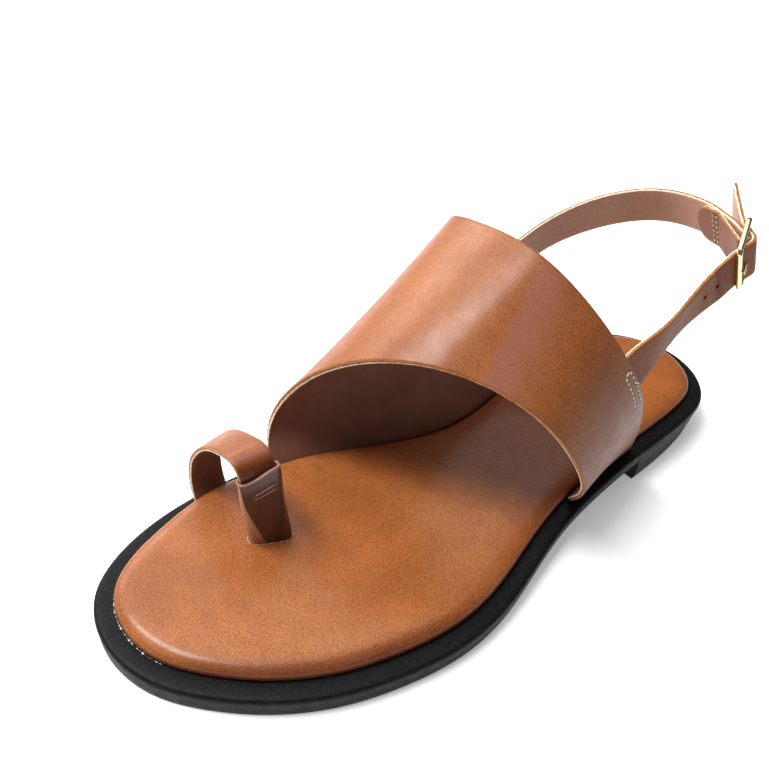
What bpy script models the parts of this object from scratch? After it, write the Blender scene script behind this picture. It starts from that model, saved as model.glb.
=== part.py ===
# Toe loop sandal, left shoe: sole unit, footbed, high vamp, toe loop and a buckled back strap.
# Metres. +X lateral, -X medial, +Y towards the heel, +Z up, floor at z = 0.
# The origin is on the tread under the ball of the foot, BALL_STATION behind the toe tip.

import math

import bmesh
import bpy
import numpy as np

# Main sizes
LENGTH = 0.255
BALL_WIDTH = 0.0947
INSTEP_HEIGHT = 0.100
LOOP_HEIGHT = 0.0456
BALL_STATION = 0.075
GAP = 0.0003

# Outsole
LEDGE_FORE = 0.0073
LEDGE_HEEL = 0.0144
RAMP_START = 0.100
RAMP_END = 0.191
SHANK_THICK = 0.0061
SHANK_START = 0.085
SHANK_END = 0.150
BREAST = 0.190
BREAST_SLOPE = 0.0002
TREAD_TAPER_FORE = 0.0004
TREAD_TAPER_HEEL = 0.0022
OUTLINE_STATIONS = 46
TOE_TIP = -0.106
HEEL_TIP = 0.007

# Outline of the ledge: along as a share of LENGTH, the two sides as shares of BALL_WIDTH
OUTLINE = (
    # along, medial, lateral
    (0.020, -0.290, 0.092),
    (0.059, -0.380, 0.224),
    (0.098, -0.428, 0.317),
    (0.176, -0.474, 0.440),
    (0.255, -0.482, 0.505),
    (0.333, -0.465, 0.532),
    (0.412, -0.411, 0.510),
    (0.490, -0.343, 0.452),
    (0.569, -0.287, 0.398),
    (0.647, -0.285, 0.372),
    (0.725, -0.308, 0.357),
    (0.804, -0.328, 0.347),
    (0.882, -0.324, 0.327),
    (0.922, -0.297, 0.302),
    (0.961, -0.227, 0.239),
)

# Footbed
FOOTBED_THICK = 0.0050
EDGE_INSET = 0.0060
WAIST_TUCK = 0.0036
WAIST_CENTRE = 0.135
WAIST_REACH = 0.050
LOOP_SWELL = 0.0017
LOOP_SWELL_CENTRE = 0.052
LOOP_SWELL_REACH = 0.030

# Rounded edge of the footbed: extra inset and height as shares of FOOTBED_THICK
FOOTBED_EDGE = (
    # inset, height
    (0.16, 0.06),
    (0.00, 0.40),
    (0.05, 0.70),
    (0.26, 0.93),
    (0.62, 1.00),
)

# Vamp
VAMP_THICK = 0.0018
VAMP_SPANS = 44
VAMP_ROWS = 14
MEDIAL_FOOT_SHARE = 0.20
LATERAL_FOOT_SHARE = 0.16

# Edges of the vamp over the instep, medial foot to lateral foot:
# across as a share of BALL_WIDTH, along of LENGTH, up of INSTEP_HEIGHT
VAMP_FRONT = (
    # across, along, up
    (-0.474, 0.295, 0.061),
    (-0.498, 0.310, 0.255),
    (-0.373, 0.328, 0.485),
    (-0.145, 0.356, 0.673),
    (0.120, 0.407, 0.735),
    (0.351, 0.476, 0.614),
    (0.453, 0.534, 0.373),
    (0.362, 0.591, 0.118),
)
VAMP_REAR = (
    # across, along, up
    (-0.227, 0.717, 0.170),
    (-0.411, 0.667, 0.539),
    (-0.469, 0.596, 0.834),
    (-0.226, 0.551, 0.967),
    (0.083, 0.543, 0.985),
    (0.312, 0.598, 0.769),
    (0.389, 0.664, 0.478),
    (0.301, 0.733, 0.131),
)

# Toe loop
LOOP_THICK = 0.0017
LOOP_WIDTH = 0.0120
LEG_WIDTH = 0.0113
LEG_ROWS = (7, 10)
LOOP_SPANS = 44
SLOT_SPANS = 6
SLOT_DEPTH = 0.0040

# Outer face of the toe loop, from the medial ledge over the toe and down the slot:
# front and rear edge across as shares of BALL_WIDTH, front edge along of LENGTH, up of LOOP_HEIGHT
TOE_LOOP = (
    # front, rear, along, up
    (-0.449, -0.455, 0.182, 0.169),
    (-0.468, -0.481, 0.181, 0.307),
    (-0.471, -0.492, 0.181, 0.450),
    (-0.464, -0.492, 0.182, 0.566),
    (-0.431, -0.459, 0.184, 0.700),
    (-0.356, -0.373, 0.185, 0.861),
    (-0.253, -0.258, 0.185, 0.974),
    (-0.180, -0.180, 0.185, 1.000),
    (-0.144, -0.133, 0.187, 0.895),
    (-0.139, -0.115, 0.189, 0.713),
    (-0.141, -0.106, 0.195, 0.493),
    (-0.147, -0.098, 0.203, 0.241),
    (-0.149, -0.097, 0.205, 0.169),
)

# Sleeve round the inner leg of the loop
SLEEVE_WIDTH = 0.0136
SLEEVE_DEPTH = 0.0046
SLEEVE_WALL = 0.0006
SLEEVE_TOP = 0.0405
SLEEVE_STATIONS = 8
SLEEVE_SIDES = 20

# Back straps
STRAP_THICK = 0.0016
STRAP_WIDTH = 0.0150
FOLD_THICK = 0.0011
UNDER_VAMP = (0.0100, 0.0050, 0.0, -0.0025)
FREE_STEPS = 22
EDGE_SEARCH_SHARE = 0.2
EDGE_SEARCH_STEPS = 81
FOLD_LENGTH = 0.0115
FOLD_START = 0.0015
FOLD_TAPER = 0.0050
FOLD_STATIONS = 9
FOLD_END_SHARE = 0.45
THICK_AGAIN = 3
LEAD_IN = 0.0065
LEAD_IN_DROP = 0.0034
LEAD_OUT = 0.0043
LEAD_OUT_DROP = 0.0038
LEAD_OUT_SINK = 0.0012
TAIL_TOP = 0.0192
TAIL_LOW = 0.0135
TAIL_LIFT = 0.0035
TAIL_TURN = 0.36
TAIL_STATIONS = 5

# Where the straps leave the vamp's rear edge, as shares of the edge from medial to lateral foot
MEDIAL_STRAP_TOP = 0.165
LATERAL_STRAP_TOP = 0.758

# Free part of each strap along its middle, vamp to buckle:
# across as a share of BALL_WIDTH, along of LENGTH, up of INSTEP_HEIGHT, lean of its upper edge
MEDIAL_STRAP = (
    # across, along, up, lean across, lean along
    (-0.425, 0.730, 0.588, -0.04, -0.48),
    (-0.338, 0.845, 0.753, -0.05, -0.49),
    (-0.101, 0.903, 0.856, -0.12, -0.45),
    (0.082, 0.901, 0.881, -0.13, -0.43),
)
LATERAL_STRAP = (
    # across, along, up, lean across, lean along
    (0.329, 0.688, 0.668, 0.00, -0.34),
    (0.307, 0.759, 0.740, 0.07, -0.34),
)

# Buckle: centre in shares as above, then the directions of its length and its outward face
BUCKLE_CENTRE = (0.302, 0.859, 0.869)
BUCKLE_LENGTH_WAY = (-0.406, 0.838, 0.364)
BUCKLE_OUT_WAY = (0.911, 0.338, 0.236)
FRAME_LENGTH = 0.0168
FRAME_WIDTH = 0.0180
FRAME_CORNER = 0.0026
FRAME_RADIUS = 0.00095
BAR_RADIUS = 0.00075
BAR_SINK = 0.0004
PRONG_RADIUS = 0.0005
PRONG_OVERHANG = 0.0010
PRONG_RING_TURN = 297
PRONG_TURNS = 12
PRONG_SLOT_ALONG = (-0.0045, 0.0030)
PRONG_SLOT_OUT = (-0.0036, 0.0027)
WIRE_SIDES = 12

# Punched holes of the lateral strap, counted back from the buckle's near bar
HOLE_RADIUS = 0.0009
HOLE_FIRST = 0.0071
HOLE_PITCH = 0.0057
HOLE_COUNT = 2


def smoothstep(low, high, value):
    share = np.clip((np.asarray(value) - low) / (high - low), 0, 1)
    return share * share * (3 - 2 * share)


def unit(vector):
    vector = np.asarray(vector, float)
    return vector / np.linalg.norm(vector, axis=-1, keepdims=True)


def spline(knots, rows, at, closed=False):
    """Cubic spline through the rows; natural ends, or periodic when closed."""
    knots, rows, at = np.asarray(knots, float), np.asarray(rows, float), np.asarray(at, float)
    gaps = np.diff(knots)
    slopes = np.diff(rows, axis=0) / gaps[:, None]
    spans = len(gaps)
    size = spans if closed else spans + 1
    matrix = np.zeros((size, size))
    right = np.zeros((size, rows.shape[1]))
    for i in range(size):
        if not closed and i in (0, spans):
            matrix[i, i] = 1
            continue
        before, after = gaps[i - 1], gaps[i % spans]
        matrix[i, (i - 1) % size] += before
        matrix[i, i] += 2 * (before + after)
        matrix[i, (i + 1) % size] += after
        right[i] = 6 * (slopes[i % spans] - slopes[i - 1])
    bends = np.linalg.solve(matrix, right)
    if closed:
        bends = np.vstack([bends, bends[:1]])
    k = np.clip(np.searchsorted(knots, at, side="right") - 1, 0, spans - 1)
    h = gaps[k][:, None]
    a = (knots[k + 1] - at)[:, None]
    b = (at - knots[k])[:, None]
    curve = (bends[k] * a**3 + bends[k + 1] * b**3) / (6 * h)
    curve += (rows[k] / h - bends[k] * h / 6) * a
    return curve + (rows[k + 1] / h - bends[k + 1] * h / 6) * b


def chord(rows):
    steps = np.linalg.norm(np.diff(np.asarray(rows, float), axis=0), axis=1)
    return np.concatenate([[0], np.cumsum(steps)])


def placed(rows, height):
    """Share rows to metres, measured from the toe tip."""
    return np.asarray(rows, float)[:, :3] * (BALL_WIDTH, LENGTH, height)


# Sole heights, y from the toe tip

def ledge_height(y):
    return LEDGE_FORE + (LEDGE_HEEL - LEDGE_FORE) * smoothstep(RAMP_START, RAMP_END, y)


def tread_height(y):
    thick = LEDGE_FORE - (LEDGE_FORE - SHANK_THICK) * smoothstep(SHANK_START, SHANK_END, y)
    return np.where(np.asarray(y) > BREAST, 0, np.maximum(ledge_height(y) - thick, 0))


def tread_inset(y, side):
    return TREAD_TAPER_FORE + (TREAD_TAPER_HEEL - TREAD_TAPER_FORE) * smoothstep(BREAST, LENGTH, y)


def bump(value, centre, reach):
    """Smooth hill: 1 at the centre, 0 from reach outwards."""
    share = np.clip(np.abs(np.asarray(value) - centre) / reach, 0, 1)
    return (1 + np.cos(np.pi * share)) / 2


def footbed_inset(y, side):
    """Inset of the footbed's edge: drawn in at the medial waist, let out beside the toe loop."""
    tuck = WAIST_TUCK * bump(y, WAIST_CENTRE, WAIST_REACH)
    swell = LOOP_SWELL * bump(y, LOOP_SWELL_CENTRE, LOOP_SWELL_REACH)
    return EDGE_INSET + np.where(side < 0, tuck - swell, 0)


def outline_curve():
    rows = [(TOE_TIP, 0)]
    rows += [(lateral, along) for along, medial, lateral in OUTLINE]
    rows += [(HEEL_TIP, 1)]
    rows += [(medial, along) for along, medial, lateral in reversed(OUTLINE)]
    rows += [(TOE_TIP, 0)]
    rows = np.array(rows) * (BALL_WIDTH, LENGTH)
    knots = chord(rows)
    return spline(knots, rows, np.linspace(0, knots[-1], 2001)[:-1], closed=True)


OUTLINE_CURVE = outline_curve()


def sole_sides(inset):
    """Medial and lateral half of the outline drawn in by inset(y, side), each as x over y."""
    curve = OUTLINE_CURVE
    ahead = unit(np.roll(curve, -1, axis=0) - np.roll(curve, 1, axis=0))
    inward = np.stack([-ahead[:, 1], ahead[:, 0]], axis=1)
    heel = int(np.argmax(curve[:, 1]))
    side = np.where(np.arange(len(curve)) < heel, 1, -1)
    moved = curve + inward * inset(curve[:, 1], side)[:, None]
    toe, heel = int(np.argmin(moved[:, 1])), int(np.argmax(moved[:, 1]))
    turned = np.roll(moved, -toe, axis=0)
    heel = (heel - toe) % len(turned)
    lateral, medial = turned[: heel + 1], np.vstack([turned[heel:], turned[:1]])[::-1]
    return medial, lateral


def station_shares():
    even = (1 - np.cos(np.pi * np.arange(OUTLINE_STATIONS + 1) / OUTLINE_STATIONS)) / 2 * LENGTH
    edges = (BREAST - BREAST_SLOPE, BREAST + BREAST_SLOPE)
    clear = even[np.abs(even - BREAST) > LENGTH / OUTLINE_STATIONS / 2]
    return np.sort(np.concatenate([clear, edges]))


STATIONS = station_shares()


def sole_ring(inset, height):
    """Closed ring of points: toe tip, lateral side, heel tip, medial side."""
    medial, lateral = sole_sides(inset)
    low, high = lateral[0, 1], lateral[-1, 1]
    y = np.where(
        STATIONS < BREAST,
        BREAST - (BREAST - STATIONS) * (BREAST - low) / BREAST,
        BREAST + (STATIONS - BREAST) * (high - BREAST) / (LENGTH - BREAST),
    )
    right = np.interp(y, lateral[:, 1], lateral[:, 0])
    left = np.interp(y, medial[:, 1], medial[:, 0])[-2:0:-1]
    ring_y = np.concatenate([y, y[-2:0:-1]])
    return np.stack([np.concatenate([right, left]), ring_y, height(ring_y)], axis=1)


def ring_faces(rings):
    """Skin over a stack of equal rings, both ends closed by strips from side to side."""
    count = len(rings[0])
    last = count // 2
    faces = []
    for level in range(len(rings) - 1):
        base = level * count
        for i in range(count):
            j = (i + 1) % count
            faces.append((base + i, base + j, base + count + j, base + count + i))
    for base in (0, (len(rings) - 1) * count):
        for i in range(last):
            strip = [base + i, base + i + 1, base + (count - i - 1) % count, base + (count - i) % count]
            faces.append(tuple(dict.fromkeys(strip)))
    return faces


MATERIALS = {
    # name: base colour, roughness, metallic
    "rubber": ((0.02, 0.021, 0.023), 0.75, 0),
    "footbed_leather": ((0.45, 0.19, 0.07), 0.45, 0),
    "upper_leather": ((0.37, 0.14, 0.045), 0.4, 0),
    "sleeve_plastic": ((0.07, 0.025, 0.015), 0.2, 0),
    "pale_gold": ((0.83, 0.72, 0.40), 0.22, 1),
}


def material(name):
    known = bpy.data.materials.get(name)
    if known:
        return known
    made = bpy.data.materials.new(name)
    made.use_nodes = True
    shader = made.node_tree.nodes["Principled BSDF"]
    colour, roughness, metallic = MATERIALS[name]
    shader.inputs["Base Color"].default_value = (*colour, 1)
    shader.inputs["Roughness"].default_value = roughness
    shader.inputs["Metallic"].default_value = metallic
    made.diffuse_color = (*colour, 1)
    return made


def solid(name, points, faces, slot):
    """Object from points measured from the toe tip, its faces turned outward."""
    mesh = bpy.data.meshes.new(name)
    moved = np.asarray(points, float) - (0, BALL_STATION, 0)
    mesh.from_pydata([tuple(p) for p in moved], [], faces)
    build = bmesh.new()
    build.from_mesh(mesh)
    bmesh.ops.recalc_face_normals(build, faces=build.faces)
    build.to_mesh(mesh)
    build.free()
    made = bpy.data.objects.new(name, mesh)
    bpy.context.scene.collection.objects.link(made)
    made.data.materials.append(material(slot))
    return made


def cutter(name, points, faces):
    made = solid(name, points, faces, "rubber")
    made.hide_render = True
    made.display_type = "WIRE"
    return made


def combine(target, tool, operation):
    step = target.modifiers.new(tool.name, "BOOLEAN")
    step.operation = operation
    step.solver = "EXACT"
    step.object = tool
    return step


def sheet_faces(rows, columns):
    """Two grids of rows by columns joined round their borders."""
    size = rows * columns
    faces = []
    for i in range(rows - 1):
        for j in range(columns - 1):
            a = i * columns + j
            faces.append((a, a + 1, a + columns + 1, a + columns))
            faces.append((size + a, size + a + columns, size + a + columns + 1, size + a + 1))
    top = [j for j in range(columns)]
    right = [i * columns + columns - 1 for i in range(1, rows)]
    low = [(rows - 1) * columns + j for j in range(columns - 2, -1, -1)]
    left = [i * columns for i in range(rows - 2, 0, -1)]
    border = top + right + low + left
    for k, a in enumerate(border):
        b = border[(k + 1) % len(border)]
        faces.append((a, size + a, size + b, b))
    return faces


def sheet(outer, inner):
    rows, columns = outer.shape[:2]
    points = np.concatenate([outer.reshape(-1, 3), inner.reshape(-1, 3)])
    return points, sheet_faces(rows, columns)


def tube(centres, across, up, sides):
    """Round rod: circles of the given half axes on each centre, ends closed."""
    points, faces = [], []
    for centre, first, second in zip(centres, across, up):
        for k in range(sides):
            angle = 2 * math.pi * k / sides
            points.append(centre + math.cos(angle) * first + math.sin(angle) * second)
    for i in range(len(centres) - 1):
        for k in range(sides):
            n = (k + 1) % sides
            faces.append((i * sides + k, i * sides + n, (i + 1) * sides + n, (i + 1) * sides + k))
    faces.append(tuple(range(sides)))
    faces.append(tuple(range((len(centres) - 1) * sides, len(centres) * sides)))
    return points, faces


def along_of(centres, closed=False):
    centres = np.asarray(centres, float)
    if closed:
        return unit(np.roll(centres, -1, axis=0) - np.roll(centres, 1, axis=0))
    return unit(np.gradient(centres, axis=0))


# Vamp surface

SIDE_MEDIAL, SIDE_LATERAL = sole_sides(footbed_inset)


def foot_line(y, side):
    """Where the vamp's outer face meets the ledge, just outside the footbed."""
    curve = SIDE_LATERAL if side > 0 else SIDE_MEDIAL
    x = np.interp(y, curve[:, 1], curve[:, 0]) + side * (VAMP_THICK + GAP)
    return np.stack([x, y, ledge_height(y) + GAP], axis=-1)


def vamp_point(across, back):
    """Outer face: across runs from medial foot to lateral foot, back from front to rear edge."""
    front_rows, rear_rows = placed(VAMP_FRONT, INSTEP_HEIGHT), placed(VAMP_REAR, INSTEP_HEIGHT)
    knots = np.linspace(0, 1, len(front_rows))
    across, back = np.atleast_1d(across), np.atleast_1d(back)
    share = back[:, None]
    point = spline(knots, front_rows, across) * (1 - share) + spline(knots, rear_rows, across) * share
    feet = (
        (0, -1, np.clip(1 - across / MEDIAL_FOOT_SHARE, 0, 1)),
        (-1, 1, np.clip(1 - (1 - across) / LATERAL_FOOT_SHARE, 0, 1)),
    )
    for end, side, fade in feet:
        ruled = front_rows[end] * (1 - share) + rear_rows[end] * share
        point = point + (foot_line(ruled[:, 1], side) - ruled) * fade[:, None] ** 2
    return point


def vamp_outward(across, back):
    step = 0.004
    across, back = np.atleast_1d(across), np.atleast_1d(back)
    low, high = np.clip(across - step, 0, 1), np.clip(across + step, 0, 1)
    near, far = np.clip(back - step, 0, 1), np.clip(back + step, 0, 1)
    over = vamp_point(high, back) - vamp_point(low, back)
    rearward = vamp_point(across, far) - vamp_point(across, near)
    return unit(np.cross(rearward, over) * -1)


def vamp_grid(depth):
    """Vamp surface moved inward by depth."""
    across = np.linspace(0, 1, VAMP_SPANS + 1)
    back = np.linspace(0, 1, VAMP_ROWS + 1)
    a, b = [g.ravel() for g in np.meshgrid(across, back, indexing="ij")]
    grid = vamp_point(a, b) - vamp_outward(a, b) * depth
    grid = grid.reshape(len(across), len(back), 3)
    for end in (0, -1):
        grid[end, :, 2] = ledge_height(grid[end, :, 1]) + GAP
    return grid


# Strap paths

def ribbon(middles, widths, half_low, half_high, thick):
    """Sheet of a strap from its middle line and the direction of its upper edge."""
    middles = np.asarray(middles, float)
    ahead = along_of(middles)
    widths = np.asarray(widths, float)
    widths = unit(widths - ahead * (widths * ahead).sum(axis=1, keepdims=True))
    out = np.cross(ahead, widths)
    thick = np.broadcast_to(thick, len(middles))[:, None] / 2
    edges = (-np.broadcast_to(half_low, len(middles)), np.broadcast_to(half_high, len(middles)))
    faces = []
    for side in (1, -1):
        rows = [middles + widths * edge[:, None] + out * thick * side for edge in edges]
        faces.append(np.stack(rows, axis=1))
    return sheet(faces[0], faces[1])


def belt(circles, step=math.radians(18)):
    """Path in a plane round circles given as (s, n, radius); a positive radius is passed on its left."""
    ways = []
    for (s0, n0, r0), (s1, n1, r1) in zip(circles, circles[1:]):
        span = math.hypot(s1 - s0, n1 - n0)
        ways.append(math.atan2(n1 - n0, s1 - s0) + math.acos((r0 - r1) / span))
    points = []
    for k, (s, n, r) in enumerate(circles):
        start = ways[max(k - 1, 0)]
        turn = ways[min(k, len(ways) - 1)] - start
        if r > 0:
            turn = -((-turn) % (2 * math.pi))
        elif r < 0:
            turn = turn % (2 * math.pi)
        pieces = max(1, math.ceil(abs(turn) / step)) if r else 0
        for i in range(pieces + 1):
            angle = start + turn * (i / pieces if pieces else 0)
            points.append((s + r * math.cos(angle), n + r * math.sin(angle)))
    return np.array(points)


BUCKLE_AT = np.array(BUCKLE_CENTRE) * (BALL_WIDTH, LENGTH, INSTEP_HEIGHT)
ALONG = unit(BUCKLE_LENGTH_WAY)
OUT = unit(np.array(BUCKLE_OUT_WAY) - ALONG * np.dot(ALONG, BUCKLE_OUT_WAY))
WIDE = np.cross(OUT, ALONG)


def at_buckle(s, n, w=0.0):
    return BUCKLE_AT + np.multiply.outer(s, ALONG) + np.multiply.outer(n, OUT) + np.multiply.outer(w, WIDE)


def plane_of(point):
    return float((point - BUCKLE_AT) @ ALONG), float((point - BUCKLE_AT) @ OUT)


def free_line(table, top_share, lateral, into):
    """Middle and width rows of a strap from under the vamp to the given last middle."""
    rows = np.asarray(table, float)
    sign = 1 if lateral else -1
    edge_top = vamp_point(top_share, 1.0)[0]
    shares = top_share + sign * np.linspace(0, EDGE_SEARCH_SHARE, EDGE_SEARCH_STEPS)
    drop = np.linalg.norm(vamp_point(shares, np.ones(EDGE_SEARCH_STEPS)) - edge_top, axis=1)
    low_share = float(np.interp(STRAP_WIDTH, drop, shares))
    middles, widths = [], []
    both = np.array([top_share, low_share])
    ruling = np.linalg.norm(vamp_point(both.mean(), 1)[0] - vamp_point(both.mean(), 0)[0])
    depth = VAMP_THICK + GAP + STRAP_THICK / 2
    for distance in UNDER_VAMP:
        back = 1 - distance / ruling
        faces = vamp_point(both, np.array([back, back]))
        middles.append(faces.mean(axis=0) - vamp_outward(both.mean(), min(back, 1))[0] * depth)
        widths.append(unit(faces[0] - faces[1]))
    free = placed(rows, INSTEP_HEIGHT)
    lean = unit(np.column_stack([rows[:, 3:], np.sqrt(1 - rows[:, 3] ** 2 - rows[:, 4] ** 2)]))
    middles = np.vstack([middles, free, [into]])
    widths = np.vstack([widths, lean, [WIDE]])
    knots = chord(middles)
    at = np.linspace(0, knots[-1], FREE_STEPS + 1)
    return spline(knots, middles, at), unit(spline(knots, widths, at))


def add_buckle_frame():
    half_length, half_width = FRAME_LENGTH / 2, FRAME_WIDTH / 2
    corners = ((1, 1, 0), (-1, 1, 90), (-1, -1, 180), (1, -1, 270))
    path = []
    for along, wide, start in corners:
        for k in range(5):
            angle = math.radians(start + 22.5 * k)
            s = along * (half_length - FRAME_CORNER) + FRAME_CORNER * math.cos(angle)
            w = wide * (half_width - FRAME_CORNER) + FRAME_CORNER * math.sin(angle)
            path.append(at_buckle(s, 0, w))
    path = np.array(path)
    ahead = along_of(path, closed=True)
    across = np.cross(ahead, OUT) * FRAME_RADIUS
    points, faces = tube(path, across, np.tile(OUT * FRAME_RADIUS, (len(path), 1)), WIRE_SIDES)
    faces = faces[:-2]
    last = (len(path) - 1) * WIRE_SIDES
    for k in range(WIRE_SIDES):
        n = (k + 1) % WIRE_SIDES
        faces.append((last + k, last + n, n, k))
    frame = solid("buckle_frame", points, faces, "pale_gold")
    ends = [at_buckle(0, -BAR_SINK, w * half_width) for w in (-1, 1)]
    rod = tube(ends, [ALONG * BAR_RADIUS] * 2, [OUT * BAR_RADIUS] * 2, WIRE_SIDES)
    combine(frame, cutter("centre_bar_tool", *rod), "UNION")


def prong_path():
    ring = BAR_RADIUS + GAP + PRONG_RADIUS
    rest = FRAME_RADIUS + GAP + PRONG_RADIUS
    near = -FRAME_LENGTH / 2
    turned = belt([(near - PRONG_OVERHANG, rest, 0), (0, -BAR_SINK, ring)])
    first = math.atan2(turned[-1][1] + BAR_SINK, turned[-1][0])
    for k in range(1, PRONG_TURNS + 1):
        angle = first - math.radians(PRONG_RING_TURN * k / PRONG_TURNS)
        point = (ring * math.cos(angle), -BAR_SINK + ring * math.sin(angle))
        turned = np.vstack([turned, [point]])
    return turned


def prong_rod(radius):
    path = prong_path()
    centres = at_buckle(path[:, 0], path[:, 1])
    ahead = along_of(centres)
    up = np.cross(np.tile(WIDE, (len(centres), 1)), ahead)
    return tube(centres, np.tile(WIDE * radius, (len(centres), 1)), up * radius, WIRE_SIDES)


def add_lateral_strap():
    near, far = -FRAME_LENGTH / 2, FRAME_LENGTH / 2
    under = FRAME_RADIUS + GAP + STRAP_THICK / 2
    over = BAR_RADIUS + GAP + FOLD_THICK + GAP + STRAP_THICK / 2
    approach = at_buckle(near - LEAD_IN, -under - LEAD_IN_DROP)
    free, widths = free_line(LATERAL_STRAP, LATERAL_STRAP_TOP, True, approach)
    loop = belt([(*plane_of(approach), 0), (near, 0, -under), (0, -BAR_SINK, over), (far, 0, -under)])
    reach = np.arange(1, TAIL_STATIONS + 1) / TAIL_STATIONS
    tail = loop[-1] + TAIL_TOP * reach[:, None] * (math.cos(TAIL_TURN), -math.sin(TAIL_TURN))
    path = np.vstack([loop[1:], tail])
    middles = np.vstack([free, at_buckle(path[:, 0], path[:, 1])])
    lift = np.zeros(len(middles))
    lift[-TAIL_STATIONS:] = TAIL_LIFT * reach**2
    middles = middles + lift[:, None] * WIDE
    widths = np.vstack([widths, np.tile(WIDE, (len(path), 1))])
    shape = ribbon(middles, widths, STRAP_WIDTH / 2, STRAP_WIDTH / 2, STRAP_THICK)
    points = shape[0].reshape(2, len(middles), 2, 3)
    slant = unit(middles[-1] - middles[-2]) * (TAIL_TOP - TAIL_LOW)
    points[:, -1, 0] -= slant
    strap = solid("back_strap_lateral", points.reshape(-1, 3), shape[1], "upper_leather")
    walk = chord(free)
    for k in range(HOLE_COUNT):
        at = walk[-1] + LEAD_IN - HOLE_FIRST - HOLE_PITCH * k
        centre = np.array([np.interp(at, walk, free[:, axis]) for axis in range(3)])
        i = min(int(np.searchsorted(walk, at)), len(free) - 1)
        ahead = along_of(free)[i]
        out = unit(np.cross(ahead, widths[i]))
        ends = [centre - out * STRAP_THICK, centre + out * STRAP_THICK]
        side = unit(widths[i] - ahead * (widths[i] @ ahead))
        rod = tube(ends, [ahead * HOLE_RADIUS] * 2, [side * HOLE_RADIUS] * 2, WIRE_SIDES)
        combine(strap, cutter(f"hole_tool_{k}", *rod), "DIFFERENCE")
    combine(strap, cutter("prong_hole_tool", *prong_rod(PRONG_RADIUS + GAP)), "DIFFERENCE")


def add_medial_strap():
    far = FRAME_LENGTH / 2
    under = FRAME_RADIUS + GAP + STRAP_THICK + GAP + STRAP_THICK / 2
    wrap = BAR_RADIUS + GAP + FOLD_THICK / 2
    leave = at_buckle(far + LEAD_OUT, -under - LEAD_OUT_DROP, -LEAD_OUT_SINK)
    free, widths = free_line(MEDIAL_STRAP, MEDIAL_STRAP_TOP, False, leave)
    free, widths = free[::-1], widths[::-1]
    inward = unit(np.cross(along_of(free), widths))
    walk = chord(free)
    steps = np.linspace(FOLD_LENGTH, FOLD_START, FOLD_STATIONS)
    inner = np.column_stack([np.interp(steps, walk, free[:, axis]) for axis in range(3)])
    away = np.column_stack([np.interp(steps, walk, inward[:, axis]) for axis in range(3)])
    lean = np.column_stack([np.interp(steps, walk, widths[:, axis]) for axis in range(3)])
    inner = inner - away * (STRAP_THICK + GAP)
    loop = belt([(*plane_of(inner[-1]), 0), (0, -BAR_SINK, wrap), (far, 0, -under), (*plane_of(leave), 0)])
    path = loop[1:-1]
    middles = np.vstack([inner, at_buckle(path[:, 0], path[:, 1]), free])
    widths = np.vstack([lean, np.tile(WIDE, (len(path), 1)), widths])
    count = len(middles)
    around = np.arange(count)
    thick = np.full(count, STRAP_THICK)
    thick[(around >= len(inner)) & (around < len(inner) + len(path) - THICK_AGAIN)] = FOLD_THICK
    half = np.full(count, STRAP_WIDTH / 2)
    share = np.clip((FOLD_LENGTH - steps) / FOLD_TAPER, 0, 1)
    rounding = FOLD_END_SHARE + (1 - FOLD_END_SHARE) * np.sqrt(1 - (1 - share) ** 2)
    half[: len(inner)] = STRAP_WIDTH / 2 * rounding
    strap = solid("back_strap_medial", *ribbon(middles, widths, half, half, thick), "upper_leather")
    corners = [
        at_buckle(s, n, w)
        for s in PRONG_SLOT_ALONG
        for n in PRONG_SLOT_OUT
        for w in (-PRONG_RADIUS - 2 * GAP, PRONG_RADIUS + 2 * GAP)
    ]
    box = [(0, 1, 3, 2), (4, 6, 7, 5), (0, 4, 5, 1), (2, 3, 7, 6), (0, 2, 6, 4), (1, 5, 7, 3)]
    combine(strap, cutter("prong_slot_tool", corners, box), "DIFFERENCE")


def loop_edges():
    rows = np.asarray(TOE_LOOP, float)
    front = np.column_stack([rows[:, 0] * BALL_WIDTH, rows[:, 2] * LENGTH, rows[:, 3] * LOOP_HEIGHT])
    rear = np.column_stack([rows[:, 1] * BALL_WIDTH, rows[:, 2] * LENGTH, rows[:, 3] * LOOP_HEIGHT])
    width = np.interp(np.arange(len(rows)), LEG_ROWS, (LOOP_WIDTH, LEG_WIDTH))
    rear[:, 1] += np.sqrt(width**2 - (rear[:, 0] - front[:, 0]) ** 2)
    knots = chord((front + rear) / 2)
    at = np.linspace(0, knots[-1], LOOP_SPANS + 1)
    return spline(knots, front, at), spline(knots, rear, at)


def loop_frame():
    """Middle line of the toe loop, the way to its rear edge, its outward face and half its width."""
    front, rear = loop_edges()
    outer = (front + rear) / 2
    ahead = along_of(outer)
    rearward = unit(rear - front)
    out = unit(np.cross(ahead, rearward))
    half = np.linalg.norm(rear - front, axis=1, keepdims=True) / 2
    return outer - out * LOOP_THICK / 2, rearward, out, half


def loop_sheet(first, last, margin, extend):
    middle, rearward, out, half = [part[first:last].copy() for part in loop_frame()]
    if extend:
        middle = np.vstack([middle, middle[-1] + unit(middle[-1] - middle[-2]) * extend])
        rearward, out, half = [np.vstack([part, part[-1:]]) for part in (rearward, out, half)]
    edges = (-half - margin, half + margin)
    deep = LOOP_THICK / 2 + margin
    faces = [
        np.stack([middle + rearward * edge + out * deep * side for edge in edges], axis=1)
        for side in (1, -1)
    ]
    points, skin = sheet(faces[0], faces[1])
    if not extend:
        points[:, 2] = np.maximum(points[:, 2], ledge_height(points[:, 1]) + GAP)
    return points, skin


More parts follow.
